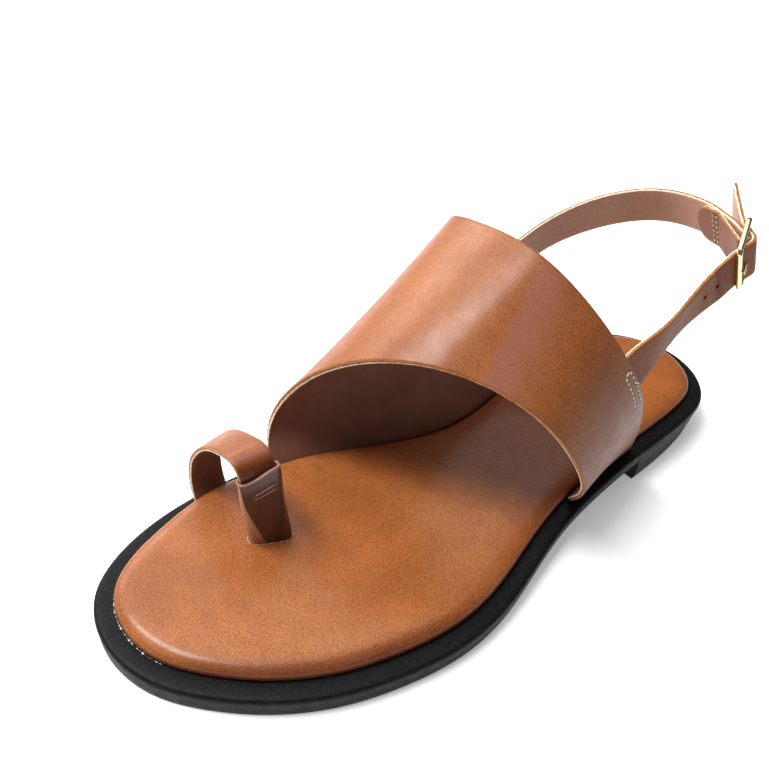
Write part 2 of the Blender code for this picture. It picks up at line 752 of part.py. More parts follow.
def add_sleeve():
    middle, rearward, out, half = loop_frame()
    top = int(np.argmax(middle[:, 2]))
    heights = middle[top:, 2][::-1]
    low = float(ledge_height(middle[-1, 1])) + FOOTBED_THICK + GAP
    at = np.linspace(low, SLEEVE_TOP, SLEEVE_STATIONS)
    pick = [
        np.column_stack([np.interp(at, heights, part[top:][::-1][:, axis]) for axis in range(3)])
        for part in (middle, rearward, out)
    ]
    centre, rearward, out = pick[0], unit(pick[1]), unit(pick[2])
    rings = []
    for shrink in (0, SLEEVE_WALL):
        depth = SLEEVE_DEPTH / 2 - shrink
        straight = SLEEVE_WIDTH / 2 - SLEEVE_DEPTH / 2
        for i in range(SLEEVE_STATIONS):
            ring = []
            for k in range(SLEEVE_SIDES):
                angle = 2 * math.pi * (k + 0.5) / SLEEVE_SIDES
                along = math.copysign(straight, math.cos(angle)) + depth * math.cos(angle)
                ring.append(centre[i] + rearward[i] * along + out[i] * depth * math.sin(angle))
            rings.append(ring)
    points = np.array(rings).reshape(-1, 3)
    size, inner = SLEEVE_SIDES, SLEEVE_STATIONS * SLEEVE_SIDES
    faces = []
    for k in range(size):
        n = (k + 1) % size
        for i in range(SLEEVE_STATIONS - 1):
            a, b = i * size, (i + 1) * size
            faces.append((a + k, a + n, b + n, b + k))
            faces.append((inner + a + k, inner + b + k, inner + b + n, inner + a + n))
        end = (SLEEVE_STATIONS - 1) * size
        faces.append((k, inner + k, inner + n, n))
        faces.append((end + k, end + n, inner + end + n, inner + end + k))
    solid("toe_post_sleeve", points, faces, "sleeve_plastic")


def add_outsole():
    rings = [
        sole_ring(tread_inset, tread_height),
        sole_ring(lambda y, side: np.zeros_like(y), ledge_height),
    ]
    solid("outsole", np.concatenate(rings), ring_faces(rings), "rubber")


def add_footbed():
    rings = []
    for inset, height in FOOTBED_EDGE:
        rings.append(
            sole_ring(
                lambda y, side, more=inset: footbed_inset(y, side) + more * FOOTBED_THICK,
                lambda y, up=height: ledge_height(y) + up * FOOTBED_THICK,
            )
        )
    footbed = solid("footbed", np.concatenate(rings), ring_faces(rings), "footbed_leather")
    slot = loop_sheet(LOOP_SPANS - SLOT_SPANS, LOOP_SPANS + 1, GAP, SLOT_DEPTH)
    combine(footbed, cutter("slot_tool", *slot), "DIFFERENCE")


def main():
    for old in list(bpy.data.objects):
        bpy.data.objects.remove(old, do_unlink=True)
    add_outsole()
    add_footbed()
    solid("vamp", *sheet(vamp_grid(0), vamp_grid(VAMP_THICK)), "upper_leather")
    solid("toe_loop", *loop_sheet(0, LOOP_SPANS + 1, 0, 0), "upper_leather")
    add_sleeve()
    add_lateral_strap()
    add_medial_strap()
    add_buckle_frame()
    solid("buckle_prong", *prong_rod(PRONG_RADIUS), "pale_gold")


main()
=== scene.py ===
# Looks of the left toe loop sandal: fine leather, rubber, plastic and metal pieces round the CAD frame.
# Metres. +X lateral, -X medial, +Y towards the heel, +Z up, floor at z = 0.
# Shapes are worked out from the toe tip, and each mesh is moved by BALL_STATION at the end.

import math

import bmesh
import bpy
import numpy as np
from mathutils import Matrix


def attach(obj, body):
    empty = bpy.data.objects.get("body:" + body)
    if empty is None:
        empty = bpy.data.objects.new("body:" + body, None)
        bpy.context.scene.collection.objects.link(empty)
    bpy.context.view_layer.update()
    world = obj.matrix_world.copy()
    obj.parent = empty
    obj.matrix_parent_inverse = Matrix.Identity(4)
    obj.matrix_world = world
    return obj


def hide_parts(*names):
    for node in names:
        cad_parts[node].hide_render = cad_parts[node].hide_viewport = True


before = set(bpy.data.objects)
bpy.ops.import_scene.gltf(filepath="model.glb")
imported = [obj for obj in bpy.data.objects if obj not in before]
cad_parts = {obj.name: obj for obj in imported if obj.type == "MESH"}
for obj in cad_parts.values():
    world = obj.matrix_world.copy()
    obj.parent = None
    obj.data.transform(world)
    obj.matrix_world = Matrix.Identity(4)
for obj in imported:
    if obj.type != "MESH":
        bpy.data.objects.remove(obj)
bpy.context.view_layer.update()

# Sizes shared with the solids
LENGTH = 0.255
BALL_WIDTH = 0.0947
INSTEP_HEIGHT = 0.100
LOOP_HEIGHT = 0.0456
BALL_STATION = 0.075
LEDGE_FORE = 0.0073
LEDGE_HEEL = 0.0144
RAMP = (0.100, 0.191)
SHANK_THICK = 0.0061
SHANK = (0.085, 0.150)
BREAST = 0.190
FOOTBED_THICK = 0.0050
EDGE_INSET = 0.0060
WAIST_TUCK = 0.0036
WAIST_CENTRE = 0.135
WAIST_REACH = 0.050
LOOP_SWELL = 0.0017
LOOP_SWELL_CENTRE = 0.052
LOOP_SWELL_REACH = 0.030
VAMP_THICK = 0.0018
LOOP_THICK = 0.0017
LOOP_WIDTH = 0.0120
LEG_WIDTH = 0.0113
LEG_ROWS = (7, 10)
STRAP_THICK = 0.0016
STRAP_WIDTH = 0.0150
FOLD_THICK = 0.0011
GAP = 0.0003

OUTLINE = (
    # along, medial, lateral
    (0.020, -0.290, 0.092),
    (0.059, -0.380, 0.224),
    (0.098, -0.428, 0.317),
    (0.176, -0.474, 0.440),
    (0.255, -0.482, 0.505),
    (0.333, -0.465, 0.532),
    (0.412, -0.411, 0.510),
    (0.490, -0.343, 0.452),
    (0.569, -0.287, 0.398),
    (0.647, -0.285, 0.372),
    (0.725, -0.308, 0.357),
    (0.804, -0.328, 0.347),
    (0.882, -0.324, 0.327),
    (0.922, -0.297, 0.302),
    (0.961, -0.227, 0.239),
)
TOE_TIP = -0.106
HEEL_TIP = 0.007

VAMP_FRONT = (
    # across, along, up
    (-0.474, 0.295, 0.061),
    (-0.498, 0.310, 0.255),
    (-0.373, 0.328, 0.485),
    (-0.145, 0.356, 0.673),
    (0.120, 0.407, 0.735),
    (0.351, 0.476, 0.614),
    (0.453, 0.534, 0.373),
    (0.362, 0.591, 0.118),
)
VAMP_REAR = (
    # across, along, up
    (-0.227, 0.717, 0.170),
    (-0.411, 0.667, 0.539),
    (-0.469, 0.596, 0.834),
    (-0.226, 0.551, 0.967),
    (0.083, 0.543, 0.985),
    (0.312, 0.598, 0.769),
    (0.389, 0.664, 0.478),
    (0.301, 0.733, 0.131),
)
MEDIAL_FOOT_SHARE = 0.20
LATERAL_FOOT_SHARE = 0.16

TOE_LOOP = (
    # front, rear, along, up
    (-0.449, -0.455, 0.182, 0.169),
    (-0.468, -0.481, 0.181, 0.307),
    (-0.471, -0.492, 0.181, 0.450),
    (-0.464, -0.492, 0.182, 0.566),
    (-0.431, -0.459, 0.184, 0.700),
    (-0.356, -0.373, 0.185, 0.861),
    (-0.253, -0.258, 0.185, 0.974),
    (-0.180, -0.180, 0.185, 1.000),
    (-0.144, -0.133, 0.187, 0.895),
    (-0.139, -0.115, 0.189, 0.713),
    (-0.141, -0.106, 0.195, 0.493),
    (-0.147, -0.098, 0.203, 0.241),
    (-0.149, -0.097, 0.205, 0.169),
)
SLEEVE_WIDTH = 0.0136
SLEEVE_DEPTH = 0.0046
SLEEVE_WALL = 0.0006
SLEEVE_TOP = 0.0405

MEDIAL_STRAP_TOP = 0.165
LATERAL_STRAP_TOP = 0.758
UNDER_VAMP = (0.0100, 0.0050, 0.0, -0.0025)
MEDIAL_STRAP = (
    # across, along, up, lean across, lean along
    (-0.425, 0.730, 0.588, -0.04, -0.48),
    (-0.338, 0.845, 0.753, -0.05, -0.49),
    (-0.101, 0.903, 0.856, -0.12, -0.45),
    (0.082, 0.901, 0.881, -0.13, -0.43),
)
LATERAL_STRAP = (
    # across, along, up, lean across, lean along
    (0.329, 0.688, 0.668, 0.00, -0.34),
    (0.307, 0.759, 0.740, 0.07, -0.34),
)
FOLD_LENGTH = 0.0115
FOLD_START = 0.0015
FOLD_TAPER = 0.005
LEAD_IN = 0.0065
LEAD_IN_DROP = 0.0034
LEAD_OUT = 0.0043
LEAD_OUT_DROP = 0.0038
LEAD_OUT_SINK = 0.0012
TAIL_TOP = 0.0192
TAIL_LOW = 0.0135
TAIL_LIFT = 0.0035
TAIL_TURN = 0.36

BUCKLE_CENTRE = (0.302, 0.859, 0.869)
BUCKLE_LENGTH_WAY = (-0.406, 0.838, 0.364)
BUCKLE_OUT_WAY = (0.911, 0.338, 0.236)
FRAME_LENGTH = 0.0168
FRAME_WIDTH = 0.0180
FRAME_CORNER = 0.0026
FRAME_RADIUS = 0.00095
BAR_RADIUS = 0.00075
BAR_SINK = 0.0004
PRONG_RADIUS = 0.0005
PRONG_OVERHANG = 0.0010
HOLE_RADIUS = 0.0009
HOLE_FIRST = 0.0071
HOLE_PITCH = 0.0057

# Fine forms that only the looks have
OUTLINE_STEPS = 4000
SIDE_STEPS = 190
TREAD_INSET = 0.0004
HEEL_INSET = 0.0018
BREAST_STEP = 0.0002
TREAD_EDGE = (
    # extra inset, rise above the tread
    (0.0016, 0.0),
    (0.0006, 0.0),
    (0.0002, 0.0002),
    (0.0, 0.0007),
)
WALL_SHARES = (0.35, 0.65)
LEDGE_EDGE = (
    # inset, drop below the ledge
    (0.0, 0.0016),
    (0.00008, 0.0010),
    (0.0004, 0.00042),
    (0.0010, 0.0001),
    (0.0019, 0.0),
    (0.0040, 0.0001),
    (0.0062, 0.0002),
    (0.0100, 0.0002),
)
SLOT_AT = (-0.0122, 0.0568)
SLOT_REACH = (0.0060, 0.0110)
SLOT_DIMPLE = 0.0007
FOOT_TREADS = (
    # depth (below 0 a rise), place across, reach across, place along, reach along
    (0.00045, 0.004, 0.032, 0.080, 0.055),
    (0.00060, 0.0, 0.024, 0.222, 0.040),
    (-0.0007, -0.036, 0.010, 0.053, 0.014),
)
FOOT_SWELLS = (
    # height, waves across, waves along, start
    (0.00012, 180, 60, 0),
    (0.00010, -90, 150, 1),
)
FOOT_EDGE = (
    # inset, share of the height
    (0.0004, 0.0),
    (0.0001, 0.08),
    (0.0, 0.2),
)
FOOT_ROLL = 0.0082
FOOT_ROLL_STEPS = 12
FOOT_COLUMNS = 44
VAMP_RELIEF = (
    # rise, share across, reach across, share back, reach back
    (0.00045, 0.70, 0.10, 0.35, 0.7),
    (-0.00040, 0.585, 0.07, 0.30, 0.8),
    (0.00030, 0.46, 0.09, 0.55, 0.7),
    (-0.00025, 0.30, 0.10, 0.6, 0.6),
    (0.00035, 0.80, 0.06, 0.93, 0.25),
)
EDGE_LEVELS = (0.07, 0.2, 0.35, 0.5, 0.65, 0.8, 0.93)
EDGE_BULGE = 0.00022
RAG_PACE = 4000
VAMP_RAG = 0.00010
STRAP_RAG = 0.00005
LOOP_RAG = 0.00004
STRAP_SOFTNESS = 0.10
LOOP_SOFTNESS = 0.12
VAMP_ROWS = 181
VAMP_COLUMNS = 81
GLUE_STEPS = 260
GLUE_END = (0.006, 0.0130)
GLUE_SIZE = 0.00034
GLUE_PACE = 600
DROP_STEPS = 81
DROP_REACH = 0.2
FREE_STEPS = 110
TAIL_FIRST = 0.03
TAIL_STEPS = 34
HOLES = 2
FOLD_STEPS = 40
LEAVE_REACH = 0.009
LEAVE_TURNS = 60
STRAP_COLUMNS = 15
SLEEVE_LEVELS = 90
SLEEVE_SIDES = 160
SEAM_TOP = 0.470
SEAM_FALL = 0.170
SEAM_LAP = 0.00030
SLEEVE_LIP = 0.00022
SLEEVE_SINK = 0.0012
SLEEVE_LEAN = (0.0011, 0.0004)
RIDGES = (
    # drop below the sleeve's top, half width
    (0.0047, 0.00030),
    (0.0062, 0.00034),
)
RIDGE_RISE = 0.00024
RIDGE_SLOPE = 0.28
RIDGE_STEPS = 30
FRAY_STEPS = 220
FRAY_SIZE = 0.00034
CORNER_STEPS = 12
STEM_STEPS = 24
PRONG_RING_STEPS = 40
PRONG_TURN = math.radians(297)
PRONG_TIP = (0.2, 0.55, 0.8, 0.93, 1.0)
BAR_STEPS = 5
WIRE_SIDES = 24
PRONG_SIDES = 20
RIDGE_SIDES = 10
THREAD_SIDES = 10
FLECK_SIDES = 8

THREAD_RADIUS = 0.00019
FOLD_THREAD_RADIUS = 0.00020
THREAD_RISE = 0.00018
STITCH_STEPS = 8
HOLE_SIDES = 12
# pitch and length of the stitches, corners as shares across and back of the vamp
SEAM_STITCH = (0.0023, 0.0017)
LAST_STITCH = (0.0014, 0.0011)
FOLD_STITCH = (0.0021, 0.0016)
LATERAL_SEAM = ((0.766, 0.885), (0.764, 0.962), (0.829, 0.962), (0.831, 0.868))
LATERAL_LAST = ((0.789, 0.966), (0.796, 1.0))
MEDIAL_SEAM = ((0.158, 0.958), (0.158, 0.988), (0.108, 0.988), (0.108, 0.958))
FOLD_SEAMS = (0.0036, 0.0019)

LIGHTS = (
    # name, place, aim, size, watts, colour
    ("overhead", (-0.75, 0.10, 1.55), (-0.05, 0.1, 0.0), (2.2, 2.2), 25, (1, 1, 1)),
    ("window", (-1.16, 0.04, 0.575), (0, 0.04, 0.06), (1.0, 0.42), 8, (1.0, 0.93, 0.87)),
    ("toe_strip", (-0.40, -0.48, 1.12), (-0.50, 0.0, 0.0), (0.9, 0.28), 19, (1, 1, 1)),
    ("right_card", (0.75, 0.0, 0.98), (0, 0.05, 0.06), (0.25, 0.5), 0.5, (0.90, 0.80, 1.0)),
)
WORLD_LIGHT = 0.10
FLOOR_GLOW = 0.30
FLOOR_REACH = 6.0
FLOOR_DROP = 0.0001

# Camera, measured from the toe tip
CAMERA_AT = (0.12865, -0.0345, 0.20963)
CAMERA_AZIMUTH = math.radians(49.01)
CAMERA_DROP = math.radians(36.76)
CAMERA_ROLL = math.radians(5.07)
CAMERA_LENS = 37.15
CAMERA_SHIFT = (0.0319, -0.0342)


# Plain maths

def smoothstep(low, high, value):
    share = np.clip((np.asarray(value, float) - low) / (high - low), 0, 1)
    return share * share * (3 - 2 * share)


def bump(value, centre, reach):
    """Smooth hill, 1 at the centre and 0 beyond reach."""
    share = np.clip(np.abs(np.asarray(value, float) - centre) / reach, 0, 1)
    return (1 + np.cos(np.pi * share)) / 2


def unit(vector):
    vector = np.asarray(vector, float)
    return vector / np.linalg.norm(vector, axis=-1, keepdims=True)


def spline(knots, rows, at, closed=False):
    """Cubic spline through rows at knots, natural or closed, read at the places in at."""
    knots, rows, at = np.asarray(knots, float), np.asarray(rows, float), np.asarray(at, float)
    gaps = np.diff(knots)
    slopes = np.diff(rows, axis=0) / gaps[:, None]
    spans = len(gaps)
    size = spans if closed else spans + 1
    matrix = np.zeros((size, size))
    right = np.zeros((size, rows.shape[1]))
    for i in range(size):
        if not closed and i in (0, spans):
            matrix[i, i] = 1
            continue
        before, after = gaps[i - 1], gaps[i % spans]
        matrix[i, (i - 1) % size] += before
        matrix[i, i] += 2 * (before + after)
        matrix[i, (i + 1) % size] += after
        right[i] = 6 * (slopes[i % spans] - slopes[i - 1])
    bends = np.linalg.solve(matrix, right)
    if closed:
        bends = np.vstack([bends, bends[:1]])
    k = np.clip(np.searchsorted(knots, at, side="right") - 1, 0, spans - 1)
    h = gaps[k][:, None]
    a = (knots[k + 1] - at)[:, None]
    b = (at - knots[k])[:, None]
    curve = (bends[k] * a**3 + bends[k + 1] * b**3) / (6 * h)
    curve += (rows[k] / h - bends[k] * h / 6) * a
    return curve + (rows[k + 1] / h - bends[k + 1] * h / 6) * b


def chord(rows):
    """Length walked along a polyline, at each of its points."""
    steps = np.linalg.norm(np.diff(np.asarray(rows, float), axis=0), axis=1)
    return np.concatenate([[0], np.cumsum(steps)])


def along_of(centres, closed=False):
    """Way along a polyline at each of its points."""
    centres = np.asarray(centres, float)
    if closed:
        return unit(np.roll(centres, -1, axis=0) - np.roll(centres, 1, axis=0))
    return unit(np.gradient(centres, axis=0))


def placed(rows, height):
    """First three columns of a table of shares, in metres."""
    return np.asarray(rows, float)[:, :3] * (BALL_WIDTH, LENGTH, height)


def read(rows, walk, at):
    """Points of a polyline at the places in at, where walk holds the place of each of its rows."""
    return np.column_stack([np.interp(at, walk, axis) for axis in np.transpose(rows)])


def wobble(value, seed, high=4.0, waves=5):
    """Mean of sines with fixed phases and paces from 1 to high, about -1 to 1."""
    value = np.asarray(value, float)
    paces = [1 + (high - 1) * ((k * 0.618 + seed * 0.37) % 1) for k in range(waves)]
    return sum(np.sin(pace * value + seed * 1.7 + k * 2.4) for k, pace in enumerate(paces)) / waves


# Meshes and materials

def linked(name, data):
    made = bpy.data.objects.new(name, data)
    bpy.context.scene.collection.objects.link(made)
    return made


def face_out(mesh):
    build = bmesh.new()
    build.from_mesh(mesh)
    bmesh.ops.recalc_face_normals(build, faces=build.faces)
    build.to_mesh(mesh)
    build.free()


def add_mesh(name, looks, points, faces, node=None, values=None, face_looks=None):
    """Smooth shaded object that rides on the root body, and hides the CAD node it replaces if one is given.
    """
    mesh = bpy.data.meshes.new(name)
    moved = np.asarray(points, float) - (0, BALL_STATION, 0)
    mesh.from_pydata(moved.tolist(), [], [tuple(int(i) for i in face) for face in faces])
    for key, numbers in (values or {}).items():
        layer = mesh.attributes.new(key, "FLOAT", "POINT")
        layer.data.foreach_set("value", np.asarray(numbers, np.float32))
    for look in looks:
        mesh.materials.append(MAT[look])
    if face_looks:
        mesh.polygons.foreach_set("material_index", face_looks)
    face_out(mesh)
    mesh.polygons.foreach_set("use_smooth", [True] * len(mesh.polygons))
    made = linked(name, mesh)
    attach(made, "root")
    if node:
        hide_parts(node)
    return made


def band(first, second, closed=True):
    """Faces between two rows of point numbers of equal length."""
    count = len(first)
    pairs = [(k, (k + 1) % count) for k in range(count if closed else count - 1)]
    return [(first[k], first[n], second[n], second[k]) for k, n in pairs]


def grid_faces(rows, columns, start=0):
    """Faces of a grid of points."""
    faces = []
    for first in range(start, start + (rows - 1) * columns, columns):
        faces += band(range(first, first + columns), range(first + columns, first + 2 * columns), False)
    return faces


def border_of(rows, columns):
    """Point numbers round the rim of a grid, and their neighbours one step inward."""
    places = [(0, j) for j in range(columns)]
    places += [(i, columns - 1) for i in range(1, rows)]
    places += [(rows - 1, j) for j in range(columns - 2, -1, -1)]
    places += [(i, 0) for i in range(rows - 2, 0, -1)]
    border, inward = [], []
    for i, j in places:
        border.append(i * columns + j)
        inward.append(min(max(i, 1), rows - 2) * columns + min(max(j, 1), columns - 2))
    return border, inward


def leather_sheet(name, node, looks, grids, ragged, values):
    """Leather with a face, a lining and a rounded cut edge that runs through its thickness."""
    rows, columns = grids[0].shape[:2]
    size = rows * columns
    border, inward = border_of(rows, columns)
    outer, inner = (grid.reshape(-1, 3) for grid in grids)
    faces = grid_faces(rows, columns) + grid_faces(rows, columns, size)
    face_looks = [0] * (len(faces) // 2) + [1] * (len(faces) // 2)
    edge_outer, edge_inner = outer[border], inner[border]
    middle = (edge_outer + edge_inner) / 2
    away = unit(np.cross(along_of(middle, closed=True), edge_outer - edge_inner))
    away *= -np.sign((away * (outer[inward] - edge_outer)).sum(axis=1, keepdims=True))
    walk = chord(middle)
    count = len(border)
    points, depth, levels = [outer, inner], [np.zeros(size), np.ones(size)], [border]
    for k, level in enumerate(EDGE_LEVELS):
        round_off = math.sqrt(1 - (2 * level - 1) ** 2)
        ring = edge_outer * (1 - level) + edge_inner * level + away * EDGE_BULGE * round_off
        points.append(ring + away * (ragged * level * wobble(walk * RAG_PACE, 3 + 7 * level)[:, None]))
        depth.append(np.full(count, level))
        levels.append(range(2 * size + k * count, 2 * size + (k + 1) * count))
    levels.append([i + size for i in border])
    for first, second in zip(levels, levels[1:]):
        faces += band(first, second)
    face_looks += [2] * (len(faces) - len(face_looks))
    layers = {"depth": np.concatenate(depth)}
    for key, numbers in values.items():
        numbers = np.ravel(numbers)
        layers[key] = np.concatenate([numbers, numbers, *[numbers[border]] * len(EDGE_LEVELS)])
    return add_mesh(name, looks, np.concatenate(points), faces, node, layers, face_looks)


def tube_mesh(centres, across, up, sides, closed=False):
    """Points and faces of a tube with an elliptical section, capped unless it is closed."""
    points, faces = [], []
    for centre, first, second in zip(centres, across, up):
        for k in range(sides):
            angle = 2 * math.pi * k / sides
            points.append(centre + math.cos(angle) * first + math.sin(angle) * second)
    rings = [range(i, i + sides) for i in range(0, len(points), sides)]
    for first, second in zip(rings, rings[1:] + rings[:1] if closed else rings[1:]):
        faces += band(first, second)
    if not closed:
        faces += [tuple(rings[0]), tuple(rings[-1])]
    return points, faces


def gather(points, faces, tube):
    """Add a tube to the points and faces of a larger mesh."""
    faces += [tuple(i + len(points) for i in face) for face in tube[1]]
    points += list(tube[0])


class Shader:
    """A Principled material built up node by node."""

    def __init__(self, name, colour=(0.5, 0.5, 0.5), **settings):
        self.made = bpy.data.materials.new(name)
        self.made.use_nodes = True
        self.tree = self.made.node_tree
        self.main = self.tree.nodes["Principled BSDF"]
        self.feed(self.main, {"Base Color": colour})
        self.feed(self.main, {key.replace("_", " "): value for key, value in settings.items()})
        self.where = self.node("ShaderNodeTexCoord").outputs["Object"]

    def feed(self, made, inputs):
        """Link or set each input of a node."""
        for key, value in inputs.items():
            socket = made.inputs[key]
            if isinstance(value, bpy.types.NodeSocket):
                self.tree.links.new(value, socket)
            else:
                socket.default_value = (*value, 1) if socket.type == "RGBA" else value

    def node(self, kind, inputs=None, **settings):
        made = self.tree.nodes.new(kind)
        for key, value in settings.items():
            setattr(made, key, value)
        self.feed(made, inputs or {})
        return made

    def noise(self, scale, detail=2.0, roughness=0.5, stretch=None, distortion=0.0):
        where = self.where
        if stretch:
            where = self.node("ShaderNodeMapping", {"Vector": where, "Scale": stretch}).outputs["Vector"]
        inputs = {"Vector": where, "Scale": scale, "Detail": detail}
        inputs.update(Roughness=roughness, Distortion=distortion)
        return self.node("ShaderNodeTexNoise", inputs).outputs["Fac"]

    def ramp(self, source, stops):
        made = self.node("ShaderNodeValToRGB", {"Fac": source})
        elements = made.color_ramp.elements
        while len(elements) < len(stops):
            elements.new(0.5)
        for element, (place, colour) in zip(elements, stops):
            element.position = place
            element.color = (*colour, 1)
        return made.outputs["Color"]

    def grey(self, source, low, high, dark=0.0, light=1.0):
        return self.ramp(source, ((low, (dark,) * 3), (high, (light,) * 3)))

    def mix(self, first, second, factor, kind="MIX"):
        inputs = {0: factor, 6: first, 7: second}
        return self.node("ShaderNodeMix", inputs, data_type="RGBA", blend_type=kind).outputs[2]

    def attribute(self, name):
        return self.node("ShaderNodeAttribute", attribute_name=name).outputs["Fac"]

    def math(self, kind, first, second):
        return self.node("ShaderNodeMath", {0: first, 1: second}, operation=kind).outputs[0]

    def relief(self, source, strength, distance):
        """Bump laid over the bumps made before it."""
        inputs = {"Strength": strength, "Distance": distance, "Height": source}
        for link in self.main.inputs["Normal"].links:
            inputs["Normal"] = link.from_socket
        self.feed(self.main, {"Normal": self.node("ShaderNodeBump", inputs).outputs["Normal"]})

    def colour(self, source):
        self.feed(self.main, {"Base Color": source})

    def drift(self, scale, detail, dark, light, places=(0.3, 0.7)):
        """Colour that drifts between two tones."""
        return self.ramp(self.noise(scale, detail), ((places[0], dark), (places[1], light)))

    def wear(self, scale, detail, low, high):
        """Roughness that drifts between two values."""
        self.feed(self.main, {"Roughness": self.grey(self.noise(scale, detail), 0.3, 0.7, low, high)})


def leather(name, tones, speck, amount, roughness, coat, coat_roughness, painted_shade, painted_sheen=None, level=0.28):
    """Dyed leather: drifting tones, mottled dark specks, fine grain and a clear finish; a mesh attribute
    darkens it as painted shade, and another can mix in a painted highlight or reflection.
    """
    made = Shader(name, Coat_Weight=coat, Coat_Roughness=coat_roughness, Specular_IOR_Level=level)
    clouds = made.noise(24, 3, 0.55, distortion=0.4)
    colour = made.ramp(clouds, ((0.36, tones[0]), (0.5, tones[1]), (0.64, tones[2])))
    patches = made.noise(95, 3, 0.6)
    colour = made.mix(colour, tones[3], made.grey(patches, 0.48, 0.72, 0, 0.45))
    fine = made.noise(2100, 2, 0.6)
    pebble = made.node("ShaderNodeTexVoronoi", {"Vector": made.where, "Scale": 1900}, feature="F1")
    pores = made.grey(pebble.outputs["Distance"], 0.20, 0.54, amount, 0)
    wide = made.grey(made.noise(120, 2), 0.3, 0.7, 0.55, 1.0)
    dots = made.math("MULTIPLY", made.grey(fine, 0.50, 0.68, 0, 0.6 * amount), wide)
    colour = made.mix(colour, speck, dots)
    colour = made.mix(colour, speck, pores)
    # Painted shade: a mesh attribute multiplies the colour towards the shade tone.
    colour = made.mix(colour, painted_shade, made.attribute("painted_shade"), "MULTIPLY")
    # Painted highlight and reflection: a mesh attribute mixes in the sheen tone.
    if painted_sheen:
        colour = made.mix(colour, painted_sheen, made.attribute("painted_sheen"))
    made.colour(colour)
    made.wear(260, 3, roughness - 0.06, roughness + 0.08)
    made.relief(made.noise(900, 4, 0.6), 0.25, 0.00012)
    made.relief(made.noise(60, 2), 0.12, 0.0012)
    return made.made


def cut_edge(name):
    """Cut leather edge in layers: dyed face, pale fibre, burnt glue line, pale lining fibre."""
    made = Shader(name, Roughness=0.7)
    bands = (
        (0.0, (0.24, 0.07, 0.012)),
        (0.14, (0.44, 0.165, 0.020)),
        (0.34, (0.37, 0.125, 0.014)),
        (0.44, (0.15, 0.035, 0.005)),
        (0.54, (0.11, 0.025, 0.004)),
        (0.62, (0.80, 0.62, 0.40)),
        (0.86, (0.92, 0.82, 0.64)),
        (1.0, (0.45, 0.28, 0.17)),
    )
    shift = made.math("SUBTRACT", made.grey(made.noise(1300, 3), 0.3, 0.7, 0.0, 0.26), 0.13)
    place = made.math("ADD", made.attribute("depth"), shift)
    colour = made.ramp(place, bands)
    colour = made.mix(colour, (0.45, 0.24, 0.10), made.grey(made.noise(1100, 3), 0.55, 0.7, 0, 0.4))
    made.colour(colour)
    made.relief(made.noise(1400, 3), 0.4, 0.0002)
    return made.made


# Each leather has three drifting tones and the tone of its darker patches
TAN = ((0.290, 0.084, 0.018), (0.345, 0.107, 0.024), (0.380, 0.125, 0.030), (0.250, 0.066, 0.013))
FOOT = ((0.312, 0.090, 0.017), (0.365, 0.110, 0.023), (0.405, 0.136, 0.036), (0.270, 0.074, 0.013))
# Painted shade and grazing reflection: the lateral strap's outer face is the tan upper leather in darker,
# mauve tones.
SHADED_TAN = ((0.195, 0.072, 0.031), (0.222, 0.083, 0.036), (0.245, 0.094, 0.041), (0.172, 0.058, 0.023))
# Painted shade and light: one lining leather, as a darker copy inside the vamp and loop and a lighter copy
# on the straps.
SHADED_LINING = ((0.21, 0.090, 0.058), (0.25, 0.108, 0.070), (0.28, 0.128, 0.086), (0.18, 0.076, 0.048))
LIT_LINING = ((0.72, 0.430, 0.295), (0.80, 0.480, 0.330), (0.86, 0.530, 0.380), (0.70, 0.390, 0.260))
SPECK = (0.115, 0.024, 0.004)
LINING_SPECK = (0.14, 0.06, 0.04)
PALE_SPECK = (0.22, 0.10, 0.06)
LEATHERS = (
    # key, name, tones, speck, speck amount, roughness, coat, coat roughness, painted shade tone
    ("upper", "upper_leather_face", TAN, SPECK, 0.60, 0.46, 0.18, 0.24, (0.34, 0.24, 0.18)),
    ("footbed", "footbed_leather_face", FOOT, SPECK, 0.66, 0.52, 0.26, 0.17, (0.50, 0.38, 0.30)),
    ("strap", "strap_leather_face", SHADED_TAN, SPECK, 0.5, 0.52, 0.03, 0.3, (0.62, 0.40, 0.20)),
    ("lining", "lining_leather", SHADED_LINING, LINING_SPECK, 0.30, 0.55, 0.12, 0.4, (0.42, 0.30, 0.26)),
    ("strap_back", "strap_lining_leather", LIT_LINING, PALE_SPECK, 0.35, 0.55, 0.15, 0.4, (0.50, 0.44, 0.43)),
)
LINED = ("upper", "lining", "edge")
# The upper's sheen tone is a painted mauve reflection and highlight.
LEATHER_OPTIONS = {"upper": {"painted_sheen": (0.26, 0.105, 0.090)}, "strap": {"level": 0.10}}


def rubber():
    made = Shader("moulded_rubber", Specular_IOR_Level=0.14)
    tone = made.drift(70, 3, (0.0016, 0.0018, 0.0021), (0.0032, 0.0035, 0.0040))
    flecks = made.grey(made.noise(1100, 3, 0.6), 0.48, 0.70, 0, 0.55)
    made.colour(made.mix(tone, (0.014, 0.015, 0.016), flecks))
    made.wear(400, 3, 0.46, 0.60)
    made.relief(made.noise(1400, 3, 0.6), 0.5, 0.0002)
    made.relief(made.noise(220, 2), 0.15, 0.0003)
    return made.made


def gold():
    made = Shader("pale_gold_plate", Metallic=1.0)
    made.colour(made.drift(300, 2, (0.84, 0.72, 0.38), (0.90, 0.82, 0.50)))
    made.wear(900, 2, 0.12, 0.24)
    made.relief(made.noise(500, 2), 0.05, 0.0002)
    return made.made


def thread():
    made = Shader("linen_thread", Roughness=0.75)
    made.colour(made.drift(1800, 2, (0.50, 0.40, 0.28), (0.80, 0.72, 0.58), (0.35, 0.6)))
    made.relief(made.noise(3000, 2), 0.5, 0.0001)
    return made.made


# Painted shade: near black discs and hole walls stand in for the shade inside needle and punched holes.
def hole_painted_shade():
    made = Shader("needle_hole_painted_shade", Roughness=0.9)
    made.colour(made.drift(2000, 1, (0.020, 0.008, 0.004), (0.045, 0.018, 0.010)))
    return made.made


